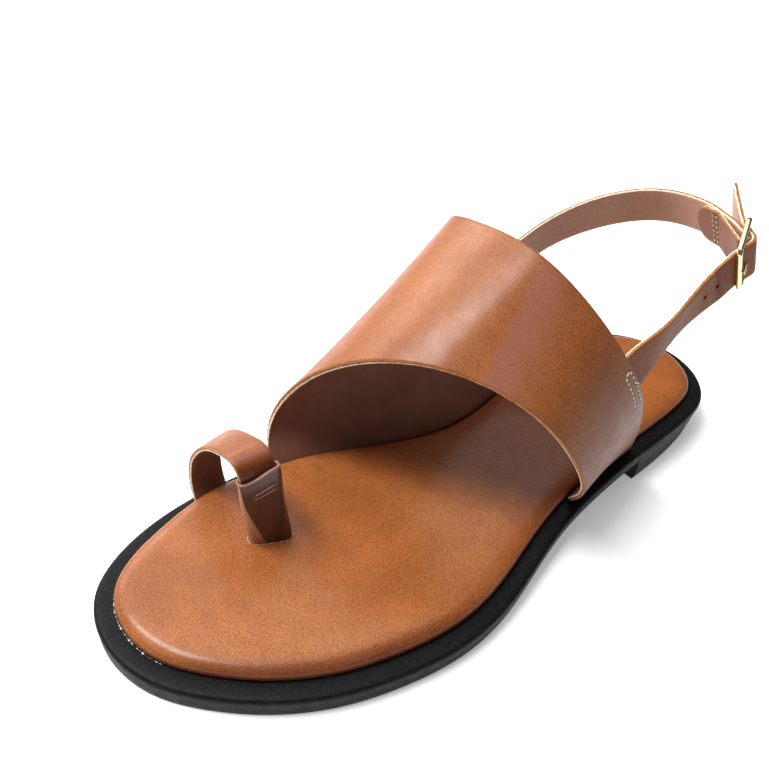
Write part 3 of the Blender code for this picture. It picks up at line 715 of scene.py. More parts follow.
def plastic():
    """Brown film of the sleeve: dark where it lies on the leather, paler at its rims."""
    made = Shader("brown_film", Roughness=0.34, Coat_Weight=0.12, Coat_Roughness=0.10)
    streaks = made.noise(420, 3, stretch=(1, 1, 0.06))
    colour = made.ramp(streaks, ((0.35, (0.030, 0.010, 0.006)), (0.65, (0.085, 0.028, 0.016))))
    tones = {"rim": (0.25, 0.125, 0.100), "seen": (0.52, 0.24, 0.115), "line": (0.62, 0.42, 0.26)}
    for key, tone in tones.items():
        colour = made.mix(colour, tone, made.attribute(key))
    made.colour(colour)
    made.relief(made.noise(350, 2), 0.08, 0.0003)
    return made.made


def glue():
    made = Shader("dried_glue", Roughness=0.55)
    made.colour(made.drift(900, 2, (0.30, 0.30, 0.29), (0.72, 0.72, 0.70), (0.35, 0.65)))
    made.relief(made.noise(1500, 2), 0.4, 0.0001)
    return made.made


MAT = {key: leather(*row, **LEATHER_OPTIONS.get(key, {})) for key, *row in LEATHERS}
MAT["edge"] = cut_edge("cut_leather_edge")
MAT.update(rubber=rubber(), gold=gold(), thread=thread(), hole=hole_painted_shade(), plastic=plastic(), glue=glue())


# Sole unit and footbed

def ledge_height(y):
    return LEDGE_FORE + (LEDGE_HEEL - LEDGE_FORE) * smoothstep(*RAMP, y)


def tread_height(y):
    thick = LEDGE_FORE - (LEDGE_FORE - SHANK_THICK) * smoothstep(*SHANK, y)
    return np.where(np.asarray(y) > BREAST, 0, np.maximum(ledge_height(y) - thick, 0))


def tread_inset(y):
    return TREAD_INSET + HEEL_INSET * smoothstep(BREAST, LENGTH, y)


def footbed_inset(y, side):
    tuck = WAIST_TUCK * bump(y, WAIST_CENTRE, WAIST_REACH)
    swell = LOOP_SWELL * bump(y, LOOP_SWELL_CENTRE, LOOP_SWELL_REACH)
    return EDGE_INSET + np.where(side < 0, tuck - swell, 0)


def outline_curve():
    """Outline of the ledge, from the toe tip round the lateral side and back round the medial side."""
    rows = [(TOE_TIP, 0)]
    rows += [(lateral, along) for along, medial, lateral in OUTLINE]
    rows += [(HEEL_TIP, 1)]
    rows += [(medial, along) for along, medial, lateral in reversed(OUTLINE)]
    rows += [(TOE_TIP, 0)]
    rows = np.array(rows) * (BALL_WIDTH, LENGTH)
    knots = chord(rows)
    return spline(knots, rows, np.linspace(0, knots[-1], OUTLINE_STEPS + 1)[:-1], closed=True)


OUTLINE_CURVE = outline_curve()


def sole_sides(inset):
    """Medial and lateral side of the outline moved inward, each from toe to heel."""
    curve = OUTLINE_CURVE
    ahead = along_of(curve, closed=True)
    inward = np.stack([-ahead[:, 1], ahead[:, 0]], axis=1)
    heel = int(np.argmax(curve[:, 1]))
    side = np.where(np.arange(len(curve)) < heel, 1, -1)
    moved = curve + inward * inset(curve[:, 1], side)[:, None]
    toe, heel = int(np.argmin(moved[:, 1])), int(np.argmax(moved[:, 1]))
    turned = np.roll(moved, -toe, axis=0)
    heel = (heel - toe) % len(turned)
    return np.vstack([turned[heel:], turned[:1]])[::-1], turned[: heel + 1]


def stations():
    """Places along the sole, close together at both tips, with a step at the heel's breast."""
    steps = (1 - np.cos(np.pi * np.arange(SIDE_STEPS + 1) / SIDE_STEPS)) / 2 * LENGTH
    clear = steps[np.abs(steps - BREAST) > LENGTH / SIDE_STEPS / 2]
    return np.sort(np.concatenate([clear, [BREAST - BREAST_STEP, BREAST + BREAST_STEP]]))


STATIONS = stations()


def sole_ring(inset, height):
    """Ring of points round the sole; every ring has its points at the same stations."""
    medial, lateral = sole_sides(inset)
    low, high = lateral[0, 1], lateral[-1, 1]
    fore = BREAST - (BREAST - STATIONS) * (BREAST - low) / BREAST
    aft = BREAST + (STATIONS - BREAST) * (high - BREAST) / (LENGTH - BREAST)
    y = np.where(STATIONS < BREAST, fore, aft)
    right = np.interp(y, lateral[:, 1], lateral[:, 0])
    left = np.interp(y, medial[:, 1], medial[:, 0])[-2:0:-1]
    ring_y = np.concatenate([y, y[-2:0:-1]])
    return np.stack([np.concatenate([right, left]), ring_y, height(ring_y)], axis=1)


def stack_faces(rings, caps=(0, -1)):
    """Faces between rings laid one on another, and the caps of the first and last ring."""
    count = len(rings[0])
    numbers = [range(base, base + count) for base in range(0, len(rings) * count, count)]
    faces = []
    for first, second in zip(numbers, numbers[1:]):
        faces += band(first, second)
    for cap in caps:
        ring = numbers[cap]
        for i in range(count // 2):
            strip = (ring[i], ring[i + 1], ring[count - i - 1], ring[-i])
            faces.append(tuple(dict.fromkeys(strip)))
    return faces


def add_outsole():
    rings = []
    for extra, rise in TREAD_EDGE:
        rings.append(sole_ring(lambda y, _: tread_inset(y) + extra, lambda y: tread_height(y) + rise))
    for share in WALL_SHARES:
        ring = sole_ring(
            lambda y, _: tread_inset(y) * (1 - share),
            lambda y: tread_height(y) * (1 - share) + ledge_height(y) * share,
        )
        rings.append(ring)
    for inset, drop in LEDGE_EDGE:
        rings.append(sole_ring(lambda y, _: np.full_like(y, inset), lambda y: ledge_height(y) - drop))
    add_mesh("outsole_look", ["rubber"], np.concatenate(rings), stack_faces(rings), "outsole")


def footbed_top(x, y):
    """Height of the footbed's upper face: shallow treads, a dimple at the slot and soft swells."""
    top = ledge_height(y) + FOOTBED_THICK
    for depth, place, reach, station, length in FOOT_TREADS:
        top = top - depth * bump(x, place, reach) * bump(y, station, length)
    across, along = (x - SLOT_AT[0]) / SLOT_REACH[0], (y - SLOT_AT[1]) / SLOT_REACH[1]
    dimple = SLOT_DIMPLE * np.exp(-(across**2) - along**2)
    for height, over, onward, start in FOOT_SWELLS:
        top = top + height * np.sin(x * over + y * onward + start)
    return top - dimple


def edge_softness(y, side):
    """Width of the edge roll: full round the toe and lateral side, tight along the medial side."""
    return 1 - np.where(side < 0, 0.62 * bump(y, 0.070, 0.062), 0)


def footbed_painted_shade(x, y, z):
    """Painted shade: darker low on the edge, on the turned edge at the front lateral side and under the
    vamp.
    """
    low = 1 - smoothstep(0.0006, 0.0040, z - ledge_height(y))
    turned = smoothstep(0.0001, 0.0012, footbed_top(x, y) - z)
    front_side = smoothstep(0.0, 0.025, x) * smoothstep(0.12, 0.05, y)
    under = smoothstep(0.120, 0.150, y) * (1 - smoothstep(0.165, 0.195, y))
    return np.clip(0.45 * low + front_side * turned + 0.48 * under, 0, 1)


def add_footbed():
    profile = list(FOOT_EDGE)
    start = FOOT_EDGE[-1][1]
    for k in range(1, FOOT_ROLL_STEPS + 1):
        angle = math.pi / 2 * k / FOOT_ROLL_STEPS
        rise = start + (1 - start) * math.sin(angle) ** 0.9
        profile.append((FOOT_ROLL * (1 - math.cos(angle)) ** 1.15, rise))
    rings = []
    for extra, share in profile:
        ring = sole_ring(lambda y, s: footbed_inset(y, s) + extra * edge_softness(y, s), ledge_height)
        full = footbed_top(ring[:, 0], ring[:, 1]) - ring[:, 2]
        ring[:, 2] += full * share
        rings.append(ring)
    count = len(rings[0])
    last = count // 2
    faces = stack_faces(rings, caps=(0,))
    points = np.concatenate(rings)
    base = (len(rings) - 1) * count
    share = np.arange(1, FOOT_COLUMNS) / FOOT_COLUMNS
    extra, rows = [], [[base]]
    top = rings[-1]
    for i in range(1, last):
        right, left = top[i], top[count - i]
        x = right[0] + (left[0] - right[0]) * share
        y = right[1] + (left[1] - right[1]) * share
        start = len(points) + len(extra)
        extra.extend(np.stack([x, y, footbed_top(x, y)], axis=1))
        rows.append([base + i, *range(start, start + len(share)), base + count - i])
    rows.append([base + last])
    for first, second in zip(rows, rows[1:]):
        if len(first) == 1 or len(second) == 1:
            tip, row = (first[0], second) if len(first) == 1 else (second[0], first)
            faces += [(tip, row[k], row[k + 1]) for k in range(len(row) - 1)]
            continue
        faces += band(first, second, False)
    points = np.concatenate([points, extra])
    # Painted shade on the footbed's edge and under the vamp.
    values = {"painted_shade": footbed_painted_shade(*points.T)}
    pad = add_mesh("footbed_look", ["footbed"], points, faces, "footbed", values)


def add_glue_flecks():
    """Uneven squeeze of dried glue between the footbed and the ledge, medial side of the toe."""
    ring = sole_ring(lambda y, s: footbed_inset(y, s) - 0.00012, lambda y: ledge_height(y) + 0.00002)
    ring = ring[(ring[:, 0] < GLUE_END[0]) & (ring[:, 1] < GLUE_END[1])]
    ring = ring[np.argsort(ring[:, 0])]
    walk = chord(ring)
    line = read(ring, walk, np.linspace(0, walk[-1], GLUE_STEPS))
    walk = chord(line)
    size = GLUE_SIZE * np.maximum(0, wobble(walk * GLUE_PACE, 4, high=9.0) + 0.05) ** 0.8 + 0.00001
    size *= np.sin(np.pi * walk / walk[-1]) ** 0.3 + 0.02
    flat = unit(np.cross(along_of(line), (0, 0, 1)))
    up = np.tile((0, 0, 1.0), (len(line), 1))
    size = size[:, None]
    points, faces = tube_mesh(line, flat * size * 1.3, up * size * 0.7, FLECK_SIDES)
    add_mesh("glue_flecks", ["glue"], points, faces)


# Vamp

SIDE_MEDIAL, SIDE_LATERAL = sole_sides(footbed_inset)


def foot_line(y, side):
    """Where the vamp's outer face meets the ledge, beside the footbed."""
    curve = SIDE_LATERAL if side > 0 else SIDE_MEDIAL
    x = np.interp(y, curve[:, 1], curve[:, 0]) + side * (VAMP_THICK + GAP)
    return np.stack([x, y, ledge_height(y) + GAP], axis=-1)


def vamp_point(across, back):
    """Point between the front and the rear rim, its two ends led down to the ledge."""
    front_rows, rear_rows = placed(VAMP_FRONT, INSTEP_HEIGHT), placed(VAMP_REAR, INSTEP_HEIGHT)
    knots = np.linspace(0, 1, len(front_rows))
    across, back = np.atleast_1d(across), np.atleast_1d(back)
    share = back[:, None]
    point = spline(knots, front_rows, across) * (1 - share) + spline(knots, rear_rows, across) * share
    feet = (
        (0, -1, np.clip(1 - across / MEDIAL_FOOT_SHARE, 0, 1)),
        (-1, 1, np.clip(1 - (1 - across) / LATERAL_FOOT_SHARE, 0, 1)),
    )
    for end, side, fade in feet:
        ruled = front_rows[end] * (1 - share) + rear_rows[end] * share
        point = point + (foot_line(ruled[:, 1], side) - ruled) * fade[:, None] ** 2
    return point


def vamp_outward(across, back):
    step = 0.004
    across, back = np.atleast_1d(across), np.atleast_1d(back)
    low, high = np.clip(across - step, 0, 1), np.clip(across + step, 0, 1)
    near, far = np.clip(back - step, 0, 1), np.clip(back + step, 0, 1)
    over = vamp_point(high, back) - vamp_point(low, back)
    rearward = vamp_point(across, far) - vamp_point(across, near)
    return unit(np.cross(over, rearward))


def vamp_relief(across, back):
    """Soft troughs and ridges of the wrapped leather, metres outward."""
    rise = 0
    for height, place, reach, station, length in VAMP_RELIEF:
        rise = rise + height * bump(across, place, reach) * bump(back, station, length)
    return rise * np.minimum(1, np.minimum(across, 1 - across) / 0.08)


def vamp_skin(across, back, depth=0.0):
    """Point on the vamp's outer face, or depth below it."""
    across, back = np.atleast_1d(across), np.atleast_1d(back)
    lift = (vamp_relief(across, back) - depth)[:, None]
    return vamp_point(across, back) + vamp_outward(across, back) * lift


def vamp_painted_shade_and_reflection(across, back):
    """Painted shade on the feet, rims, flank and troughs, and a painted mauve reflection band that follows
    the lateral trough.
    """
    foot = np.clip(1 - np.minimum(across, 1 - across) / 0.05, 0, 1)
    rim = np.clip(1 - np.minimum(back, 1 - back) / 0.02, 0, 1)
    flank = smoothstep(0.64, 0.82, across)
    trough = bump(across, 0.572, 0.035) + bump(across, 0.72, 0.06)
    painted_shade = np.clip(0.35 * foot + 0.25 * rim + 0.56 * flank + 0.16 * trough, 0, 1)
    past = across - (0.600 - 0.038 * back)
    reflection_band = smoothstep(0, 0.018, past) * smoothstep(0.105, 0.020, past) * smoothstep(1.02, 0.92, back)
    return {"painted_shade": painted_shade, "painted_sheen": 0.5 * reflection_band}


def add_vamp():
    shape = (VAMP_ROWS, VAMP_COLUMNS, 3)
    across = np.repeat(np.linspace(0, 1, VAMP_ROWS), VAMP_COLUMNS)
    back = np.tile(np.linspace(0, 1, VAMP_COLUMNS), VAMP_ROWS)
    grids = [vamp_skin(across, back, depth).reshape(shape) for depth in (0.0, VAMP_THICK)]
    for grid in grids:
        for end in (0, -1):
            grid[end, :, 2] = ledge_height(grid[end, :, 1]) + GAP
    leather_sheet("vamp_look", "vamp", LINED, grids, VAMP_RAG, vamp_painted_shade_and_reflection(across, back))


# Straps

BUCKLE_AT = np.array(BUCKLE_CENTRE) * (BALL_WIDTH, LENGTH, INSTEP_HEIGHT)
ALONG = unit(BUCKLE_LENGTH_WAY)
OUT = unit(np.array(BUCKLE_OUT_WAY) - ALONG * np.dot(ALONG, BUCKLE_OUT_WAY))
WIDE = np.cross(OUT, ALONG)


def at_buckle(s, n, w=0.0):
    """Point at s along, n out of and w across the buckle's flat."""
    return BUCKLE_AT + np.multiply.outer(s, ALONG) + np.multiply.outer(n, OUT) + np.multiply.outer(w, WIDE)


def plane_of(point):
    """Place of a point along and out of the buckle's flat."""
    return float((point - BUCKLE_AT) @ ALONG), float((point - BUCKLE_AT) @ OUT)


def belt(circles, step=math.radians(7)):
    """Line drawn tight round circles; a radius below 0 turns the other way, 0 is a bare point."""
    ways = []
    for (s0, n0, r0), (s1, n1, r1) in zip(circles, circles[1:]):
        span = math.hypot(s1 - s0, n1 - n0)
        ways.append(math.atan2(n1 - n0, s1 - s0) + math.acos((r0 - r1) / span))
    points = []
    for k, (s, n, r) in enumerate(circles):
        start = ways[max(k - 1, 0)]
        turn = ways[min(k, len(ways) - 1)] - start
        if r > 0:
            turn = -((-turn) % (2 * math.pi))
        elif r < 0:
            turn = turn % (2 * math.pi)
        pieces = max(1, math.ceil(abs(turn) / step)) if r else 0
        for i in range(pieces + 1):
            angle = start + turn * (i / pieces if pieces else 0)
            points.append((s + r * math.cos(angle), n + r * math.sin(angle)))
    return np.array(points)


def free_line(table, top_share, lateral, into):
    """Middle line and width way of a strap, from under the vamp to the point it runs into."""
    rows = np.asarray(table, float)
    sign = 1 if lateral else -1
    edge_top = vamp_point(top_share, 1.0)[0]
    shares = top_share + sign * np.linspace(0, DROP_REACH, DROP_STEPS)
    drop = np.linalg.norm(vamp_point(shares, np.ones(DROP_STEPS)) - edge_top, axis=1)
    low_share = float(np.interp(STRAP_WIDTH, drop, shares))
    middles, widths = [], []
    both = np.array([top_share, low_share])
    ruling = np.linalg.norm(vamp_point(both.mean(), 1)[0] - vamp_point(both.mean(), 0)[0])
    depth = VAMP_THICK + GAP + STRAP_THICK / 2
    for distance in UNDER_VAMP:
        back = 1 - distance / ruling
        ends = vamp_point(both, np.array([back, back]))
        middles.append(ends.mean(axis=0) - vamp_outward(both.mean(), min(back, 1))[0] * depth)
        widths.append(unit(ends[0] - ends[1]))
    free = placed(rows, INSTEP_HEIGHT)
    lean = unit(np.column_stack([rows[:, 3:], np.sqrt(1 - rows[:, 3] ** 2 - rows[:, 4] ** 2)]))
    middles = np.vstack([middles, free, [into]])
    widths = np.vstack([widths, lean, [WIDE]])
    knots = chord(middles)
    at = np.linspace(0, knots[-1], FREE_STEPS + 1)
    return spline(knots, middles, at), unit(spline(knots, widths, at))


def smooth_rows(rows, times=3):
    rows = np.array(rows, float)
    for _ in range(times):
        rows[1:-1] = (rows[:-2] + 2 * rows[1:-1] + rows[2:]) / 4
    return rows


def wall_grids(middles, widths, out, half, thick, softness):
    """Outer and inner face of a leather wall, a little thinner towards its edges."""
    share = np.linspace(-1, 1, STRAP_COLUMNS)
    flat = middles[:, None, :] + widths[:, None, :] * (half * share)[..., None]
    rise = out[:, None, :] * (thick / 2 * (1 - softness * np.abs(share) ** 6))[..., None]
    return [flat + rise, flat - rise]


def strap_grids(middles, widths, half, thick, slide=0.0):
    """Outer and inner face of a strap, moved back along it by slide, and its outward way."""
    ahead = unit(smooth_rows(along_of(middles)))
    widths = unit(widths - ahead * (widths * ahead).sum(axis=1, keepdims=True))
    out = np.cross(ahead, widths)
    grids = wall_grids(middles, widths, out, half, thick, STRAP_SOFTNESS)
    return [grid - ahead[:, None, :] * slide for grid in grids], out


def drill(target, name, centre, axis, radius, depth):
    """A punched hole through a leather piece; its walls take the near black hole material, a painted shade.
    """
    axis = unit(axis)
    side = unit(np.cross(axis, (0.3, 0.2, 0.9)))
    ends = [centre - axis * depth, centre + axis * depth]
    points, faces = tube_mesh(ends, [side * radius] * 2, [np.cross(axis, side) * radius] * 2, WIRE_SIDES)
    mesh = bpy.data.meshes.new(name)
    mesh.from_pydata([tuple(p - (0, BALL_STATION, 0)) for p in points], [], faces)
    mesh.materials.append(MAT["hole"])
    face_out(mesh)
    tool = linked(name, mesh)
    step = target.modifiers.new(name, "BOOLEAN")
    step.operation = "DIFFERENCE"
    step.solver = "EXACT"
    step.material_mode = "TRANSFER"
    step.object = tool
    bpy.context.view_layer.update()
    solid = bpy.data.meshes.new_from_object(target.evaluated_get(bpy.context.evaluated_depsgraph_get()))
    target.modifiers.clear()
    target.data = solid
    bpy.data.objects.remove(tool)


def lateral_path():
    near, far = -FRAME_LENGTH / 2, FRAME_LENGTH / 2
    under = FRAME_RADIUS + GAP + STRAP_THICK / 2
    over = BAR_RADIUS + GAP + FOLD_THICK + GAP + STRAP_THICK / 2
    approach = at_buckle(near - LEAD_IN, -under - LEAD_IN_DROP)
    free, widths = free_line(LATERAL_STRAP, LATERAL_STRAP_TOP, True, approach)
    loop = belt([(*plane_of(approach), 0), (near, 0, -under), (0, -BAR_SINK, over), (far, 0, -under)])
    return free, widths, loop


def add_lateral_strap():
    free, widths, loop = lateral_path()
    reach = np.linspace(TAIL_FIRST, 1, TAIL_STEPS)
    tail = loop[-1] + TAIL_TOP * reach[:, None] * (math.cos(TAIL_TURN), -math.sin(TAIL_TURN))
    path = np.vstack([loop[1:], tail])
    middles = np.vstack([free, at_buckle(path[:, 0], path[:, 1])])
    lift = np.zeros(len(middles))
    lift[-len(tail):] = TAIL_LIFT * reach**2
    middles = middles + lift[:, None] * WIDE
    widths = np.vstack([widths, np.tile(WIDE, (len(path), 1))])
    slide = np.zeros((len(middles), STRAP_COLUMNS, 1))
    slide[-len(tail):, :, 0] = np.multiply.outer(reach, np.linspace(TAIL_TOP - TAIL_LOW, 0, STRAP_COLUMNS))
    grids, out = strap_grids(middles, widths, STRAP_WIDTH / 2, STRAP_THICK, slide)
    walk = chord(free)
    # Painted shade on the strap where it bends into the buckle.
    near_buckle = np.zeros(len(middles))
    near_buckle[: len(free)] = smoothstep(walk[-1] - 0.003, walk[-1], walk) * 0.8
    looks = ["strap", "strap_back", "edge"]
    values = {"painted_shade": np.repeat(near_buckle, STRAP_COLUMNS)}
    strap = leather_sheet("strap_lateral_look", "back_strap_lateral", looks, grids, STRAP_RAG, values)
    for k in range(HOLES):
        at = walk[-1] + LEAD_IN - HOLE_FIRST - HOLE_PITCH * k
        centre = read(free, walk, at)[0]
        i = min(int(np.searchsorted(walk, at)), len(free) - 1)
        drill(strap, f"hole_tool_{k}", centre, out[i], HOLE_RADIUS, STRAP_THICK)


def add_medial_strap():
    far = FRAME_LENGTH / 2
    under = FRAME_RADIUS + GAP + STRAP_THICK + GAP + STRAP_THICK / 2
    wrap = BAR_RADIUS + GAP + FOLD_THICK / 2
    leave = at_buckle(far + LEAD_OUT, -under - LEAD_OUT_DROP, -LEAD_OUT_SINK)
    free, widths = free_line(MEDIAL_STRAP, MEDIAL_STRAP_TOP, False, leave)
    free, widths = free[::-1], widths[::-1]
    inward = unit(np.cross(along_of(free), widths))
    walk = chord(free)
    steps = FOLD_LENGTH - (FOLD_LENGTH - FOLD_START) * np.linspace(0, 1, FOLD_STEPS) ** 1.6
    inner = read(free, walk, steps) - read(inward, walk, steps) * (STRAP_THICK + GAP)
    loop = belt([(*plane_of(inner[-1]), 0), (0, -BAR_SINK, wrap), (far, 0, -under), (*plane_of(leave), 0)])
    path = loop[1:-1]
    middles = np.vstack([inner, at_buckle(path[:, 0], path[:, 1]), free])
    widths = np.vstack([read(widths, walk, steps), np.tile(WIDE, (len(path), 1)), widths])
    count = len(middles)
    start, end = len(inner), len(inner) + len(path)
    thin = np.zeros(count)
    thin[start:end - 8] = 1
    thick = STRAP_THICK - (STRAP_THICK - FOLD_THICK) * smooth_rows(thin, 6)
    half = np.full(count, STRAP_WIDTH / 2)
    share = np.clip((FOLD_LENGTH - steps) / FOLD_TAPER, 0, 1)
    half[:start] = STRAP_WIDTH / 2 * np.sqrt(np.maximum(1 - (1 - share) ** 2.2, 0.02))
    leaving = chord(middles)
    near_leave = bump(leaving, leaving[end], LEAVE_REACH)[:, None]
    for _ in range(LEAVE_TURNS):
        middles[1:-1] += near_leave[1:-1] * ((middles[:-2] + middles[2:]) / 2 - middles[1:-1]) * 0.5
    grids, _ = strap_grids(middles, widths, half[:, None], thick[:, None])
    looks = ["upper", "strap_back", "edge"]
    # Painted shade on the strap's faces, growing from the buckle towards the vamp.
    values = {"painted_shade": np.repeat(smoothstep(0.030, 0.085, leaving), STRAP_COLUMNS)}
    leather_sheet("strap_medial_look", "back_strap_medial", looks, grids, STRAP_RAG, values)
    return grids, steps


# Toe loop and sleeve

def loop_frame(spans=150):
    """Middle line, rearward way, outward way and half width of the toe loop."""
    rows = np.asarray(TOE_LOOP, float)
    size = (BALL_WIDTH, LENGTH, LOOP_HEIGHT)
    front, rear = rows[:, [0, 2, 3]] * size, rows[:, [1, 2, 3]] * size
    width = np.interp(np.arange(len(rows)), LEG_ROWS, (LOOP_WIDTH, LEG_WIDTH))
    rear[:, 1] += np.sqrt(width**2 - (rear[:, 0] - front[:, 0]) ** 2)
    knots = chord((front + rear) / 2)
    at = np.linspace(0, knots[-1], spans + 1)
    front, rear = spline(knots, front, at), spline(knots, rear, at)
    outer = (front + rear) / 2
    rearward = unit(rear - front)
    out = unit(np.cross(along_of(outer), rearward))
    half = np.linalg.norm(rear - front, axis=1, keepdims=True) / 2
    return outer - out * LOOP_THICK / 2, rearward, out, half


def add_toe_loop():
    middle, rearward, out, half = loop_frame()
    grids = wall_grids(middle, rearward, out, half, LOOP_THICK, LOOP_SOFTNESS)
    for grid in grids:
        grid[..., 2] = np.maximum(grid[..., 2], ledge_height(grid[..., 1]) + GAP)
    top = int(np.argmax(middle[:, 2]))
    drop = np.arange(len(middle)) > top
    # Painted shade below the bend down to the sleeve, and a painted highlight band along the bend.
    dark = np.where(drop, smoothstep(0.0452, 0.0425, middle[:, 2]), 0) * 0.9
    highlight_band = np.where(drop, bump(middle[:, 2], 0.0447, 0.0006), 0) * 0.55
    values = {"painted_shade": np.repeat(dark, STRAP_COLUMNS), "painted_sheen": np.repeat(highlight_band, STRAP_COLUMNS)}
    leather_sheet("toe_loop_look", "toe_loop", LINED, grids, LOOP_RAG, values)


def sleeve_rows(heights):
    """The loop's inner leg read at heights: middle line, rearward way and outward way."""
    middle, *ways = loop_frame()[:3]
    top = int(np.argmax(middle[:, 2]))
    known = middle[top:, 2][::-1]
    middle, *ways = [read(part[top:][::-1], known, heights) for part in (middle, *ways)]
    return middle, *map(unit, ways)


def sleeve_point(centre, rearward, out, turn, grow):
    """Point of the flat tube; turn 0 is the rear end, 0.25 the outer face's middle, 0.5 the front end."""
    straight = SLEEVE_WIDTH / 2 - SLEEVE_DEPTH / 2
    arc = math.pi * SLEEVE_DEPTH / 2
    stops = np.cumsum((0, arc / 2, 2 * straight, arc, 2 * straight, arc / 2))
    walk = turn * stops[-1]
    along = straight * np.interp(walk, stops, (1, 1, -1, -1, 1, 1))
    angle = math.pi * np.interp(walk, stops, (0, 0.5, 0.5, 1.5, 1.5, 2))
    depth = SLEEVE_DEPTH / 2 + grow
    return centre + rearward * (along + depth * math.cos(angle)) + out * depth * math.sin(angle)


def peak(value, place, reach):
    """Soft peak, 1 at place."""
    return math.exp(-(((value - place) / reach) ** 2))


def add_sleeve():
    """Flat tube of film with an overlapped seam that leans across its outer face, and a lip on top."""
    low = float(ledge_height(SLOT_AT[1])) + FOOTBED_THICK - SLEEVE_SINK
    heights = np.linspace(low, SLEEVE_TOP, SLEEVE_LEVELS)
    centre, rearward, out = sleeve_rows(heights)
    points = []
    values = {"rim": [], "seen": [], "line": []}
    for outside in (1, 0):
        for i in range(SLEEVE_LEVELS):
            down = 1 - i / (SLEEVE_LEVELS - 1)
            seam = SEAM_TOP - SEAM_FALL * down**1.35
            lip = peak(down, 0, 0.024)
            for k in range(SLEEVE_SIDES):
                turn = (k + 0.5) / SLEEVE_SIDES
                over = float(smoothstep(seam + 0.012, seam - 0.004, turn)) if turn < 0.75 else 1.0
                grow = SEAM_LAP * over - 0.00010 + SLEEVE_LIP * lip if outside else -SLEEVE_WALL
                point = sleeve_point(centre[i], rearward[i], out[i], turn, grow)
                lean = SLEEVE_LEAN[0] * math.cos(2 * math.pi * turn) + SLEEVE_LEAN[1] * math.sin(14 * turn)
                points.append(point + np.array((0, 0, lean * float(smoothstep(0.5, 0.0, down)))))
                second = peak(turn, seam + 0.031, 0.0065) * float(smoothstep(0.15, 0.55, down))
                values["line"].append(outside * (0.85 * peak(turn, seam + 0.003, 0.0055) + 0.5 * second))
                values["rim"].append(min(1, 0.9 * lip + 0.45 * peak(min(turn, 1 - turn), 0, 0.045)))
                beyond = float(smoothstep(seam + 0.008, seam + 0.020, turn)) if turn < 0.7 else 0
                values["seen"].append(0.8 * beyond * outside)
    rings = [range(i, i + SLEEVE_SIDES) for i in range(0, len(points), SLEEVE_SIDES)]
    outer, inner = rings[:SLEEVE_LEVELS], rings[SLEEVE_LEVELS:]
    loops = [*outer, *inner[::-1], outer[0]]
    faces = [face for first, second in zip(loops, loops[1:]) for face in band(first, second)]
    add_mesh("sleeve_look", ["plastic"], points, faces, "toe_post_sleeve", values)


def add_sleeve_ridges():
    """Two slanted moulded ridges below the sleeve's lip."""
    points, faces, rims = [], [], []
    along = SLEEVE_WIDTH * np.linspace(0.31, -0.21, RIDGE_STEPS)
    taper = np.sqrt(np.clip(1 - np.linspace(-1, 1, RIDGE_STEPS) ** 8, 0.05, 1))[:, None]
    for drop, thick in RIDGES:
        centre, rearward, out = sleeve_rows(SLEEVE_TOP - drop + along * RIDGE_SLOPE)
        line = centre + rearward * along[:, None] + out * (SLEEVE_DEPTH / 2 + RIDGE_RISE)
        side = np.cross(along_of(line), out)
        tube = tube_mesh(line, side * thick * taper, out * RIDGE_RISE * taper, RIDGE_SIDES)
        gather(points, faces, tube)
        rims += [thick / RIDGES[-1][1]] * len(tube[0])
    plain = [0.0] * len(points)
    values = {"rim": rims, "seen": plain, "line": plain}
    add_mesh("sleeve_ridges", ["plastic"], points, faces, values=values)


def add_slot_fray():
    """Pale torn edge of the footbed leather round the slot."""
    height = float(ledge_height(SLOT_AT[1])) + FOOTBED_THICK - 0.0004
    centre, rearward, out = sleeve_rows(np.array([height]))
    line, size = [], []
    for k in range(FRAY_STEPS):
        grow = 0.00034 + 0.00014 * float(wobble(k * 0.35, 2))
        point = sleeve_point(centre[0], rearward[0], out[0], (k + 0.5) / FRAY_STEPS, grow)
        point[2] = footbed_top(*point[:2]) + 0.00008 * wobble(k * 0.5, 5)
        line.append(point)
        size.append(0.00002 + FRAY_SIZE * max(0.0, float(wobble(k * 0.55, 9))))
    line = np.array(line)
    ahead = along_of(line, closed=True)
    flat = unit(np.cross(ahead, (0, 0, 1)))
    size = np.array(size)[:, None]
    up = np.tile((0, 0, 1), (FRAY_STEPS, 1)) * size * 0.8
    points, faces = tube_mesh(line, flat * size, up, FLECK_SIDES, closed=True)
    add_mesh("slot_fray", ["thread"], points, faces)


# Buckle

def add_buckle():
    """Rectangular frame of round wire with its centre bar."""
    half_length, half_width = FRAME_LENGTH / 2, FRAME_WIDTH / 2
    path = []
    for along, wide, start in ((1, 1, 0), (-1, 1, 90), (-1, -1, 180), (1, -1, 270)):
        for k in range(CORNER_STEPS + 1):
            angle = math.radians(start + 90 * k / CORNER_STEPS)
            s = along * (half_length - FRAME_CORNER) + FRAME_CORNER * math.cos(angle)
            w = wide * (half_width - FRAME_CORNER) + FRAME_CORNER * math.sin(angle)
            path.append(at_buckle(s, 0, w))
    across = np.cross(along_of(path, closed=True), OUT) * FRAME_RADIUS
    points, faces = tube_mesh(path, across, [OUT * FRAME_RADIUS] * len(path), WIRE_SIDES, closed=True)
    ends = [at_buckle(0, -BAR_SINK, w * half_width) for w in np.linspace(-1, 1, BAR_STEPS)]
    ways = [[way * BAR_RADIUS] * BAR_STEPS for way in (ALONG, OUT)]
    gather(points, faces, tube_mesh(ends, *ways, WIRE_SIDES))
    add_mesh("buckle_look", ["gold"], points, faces, "buckle_frame")


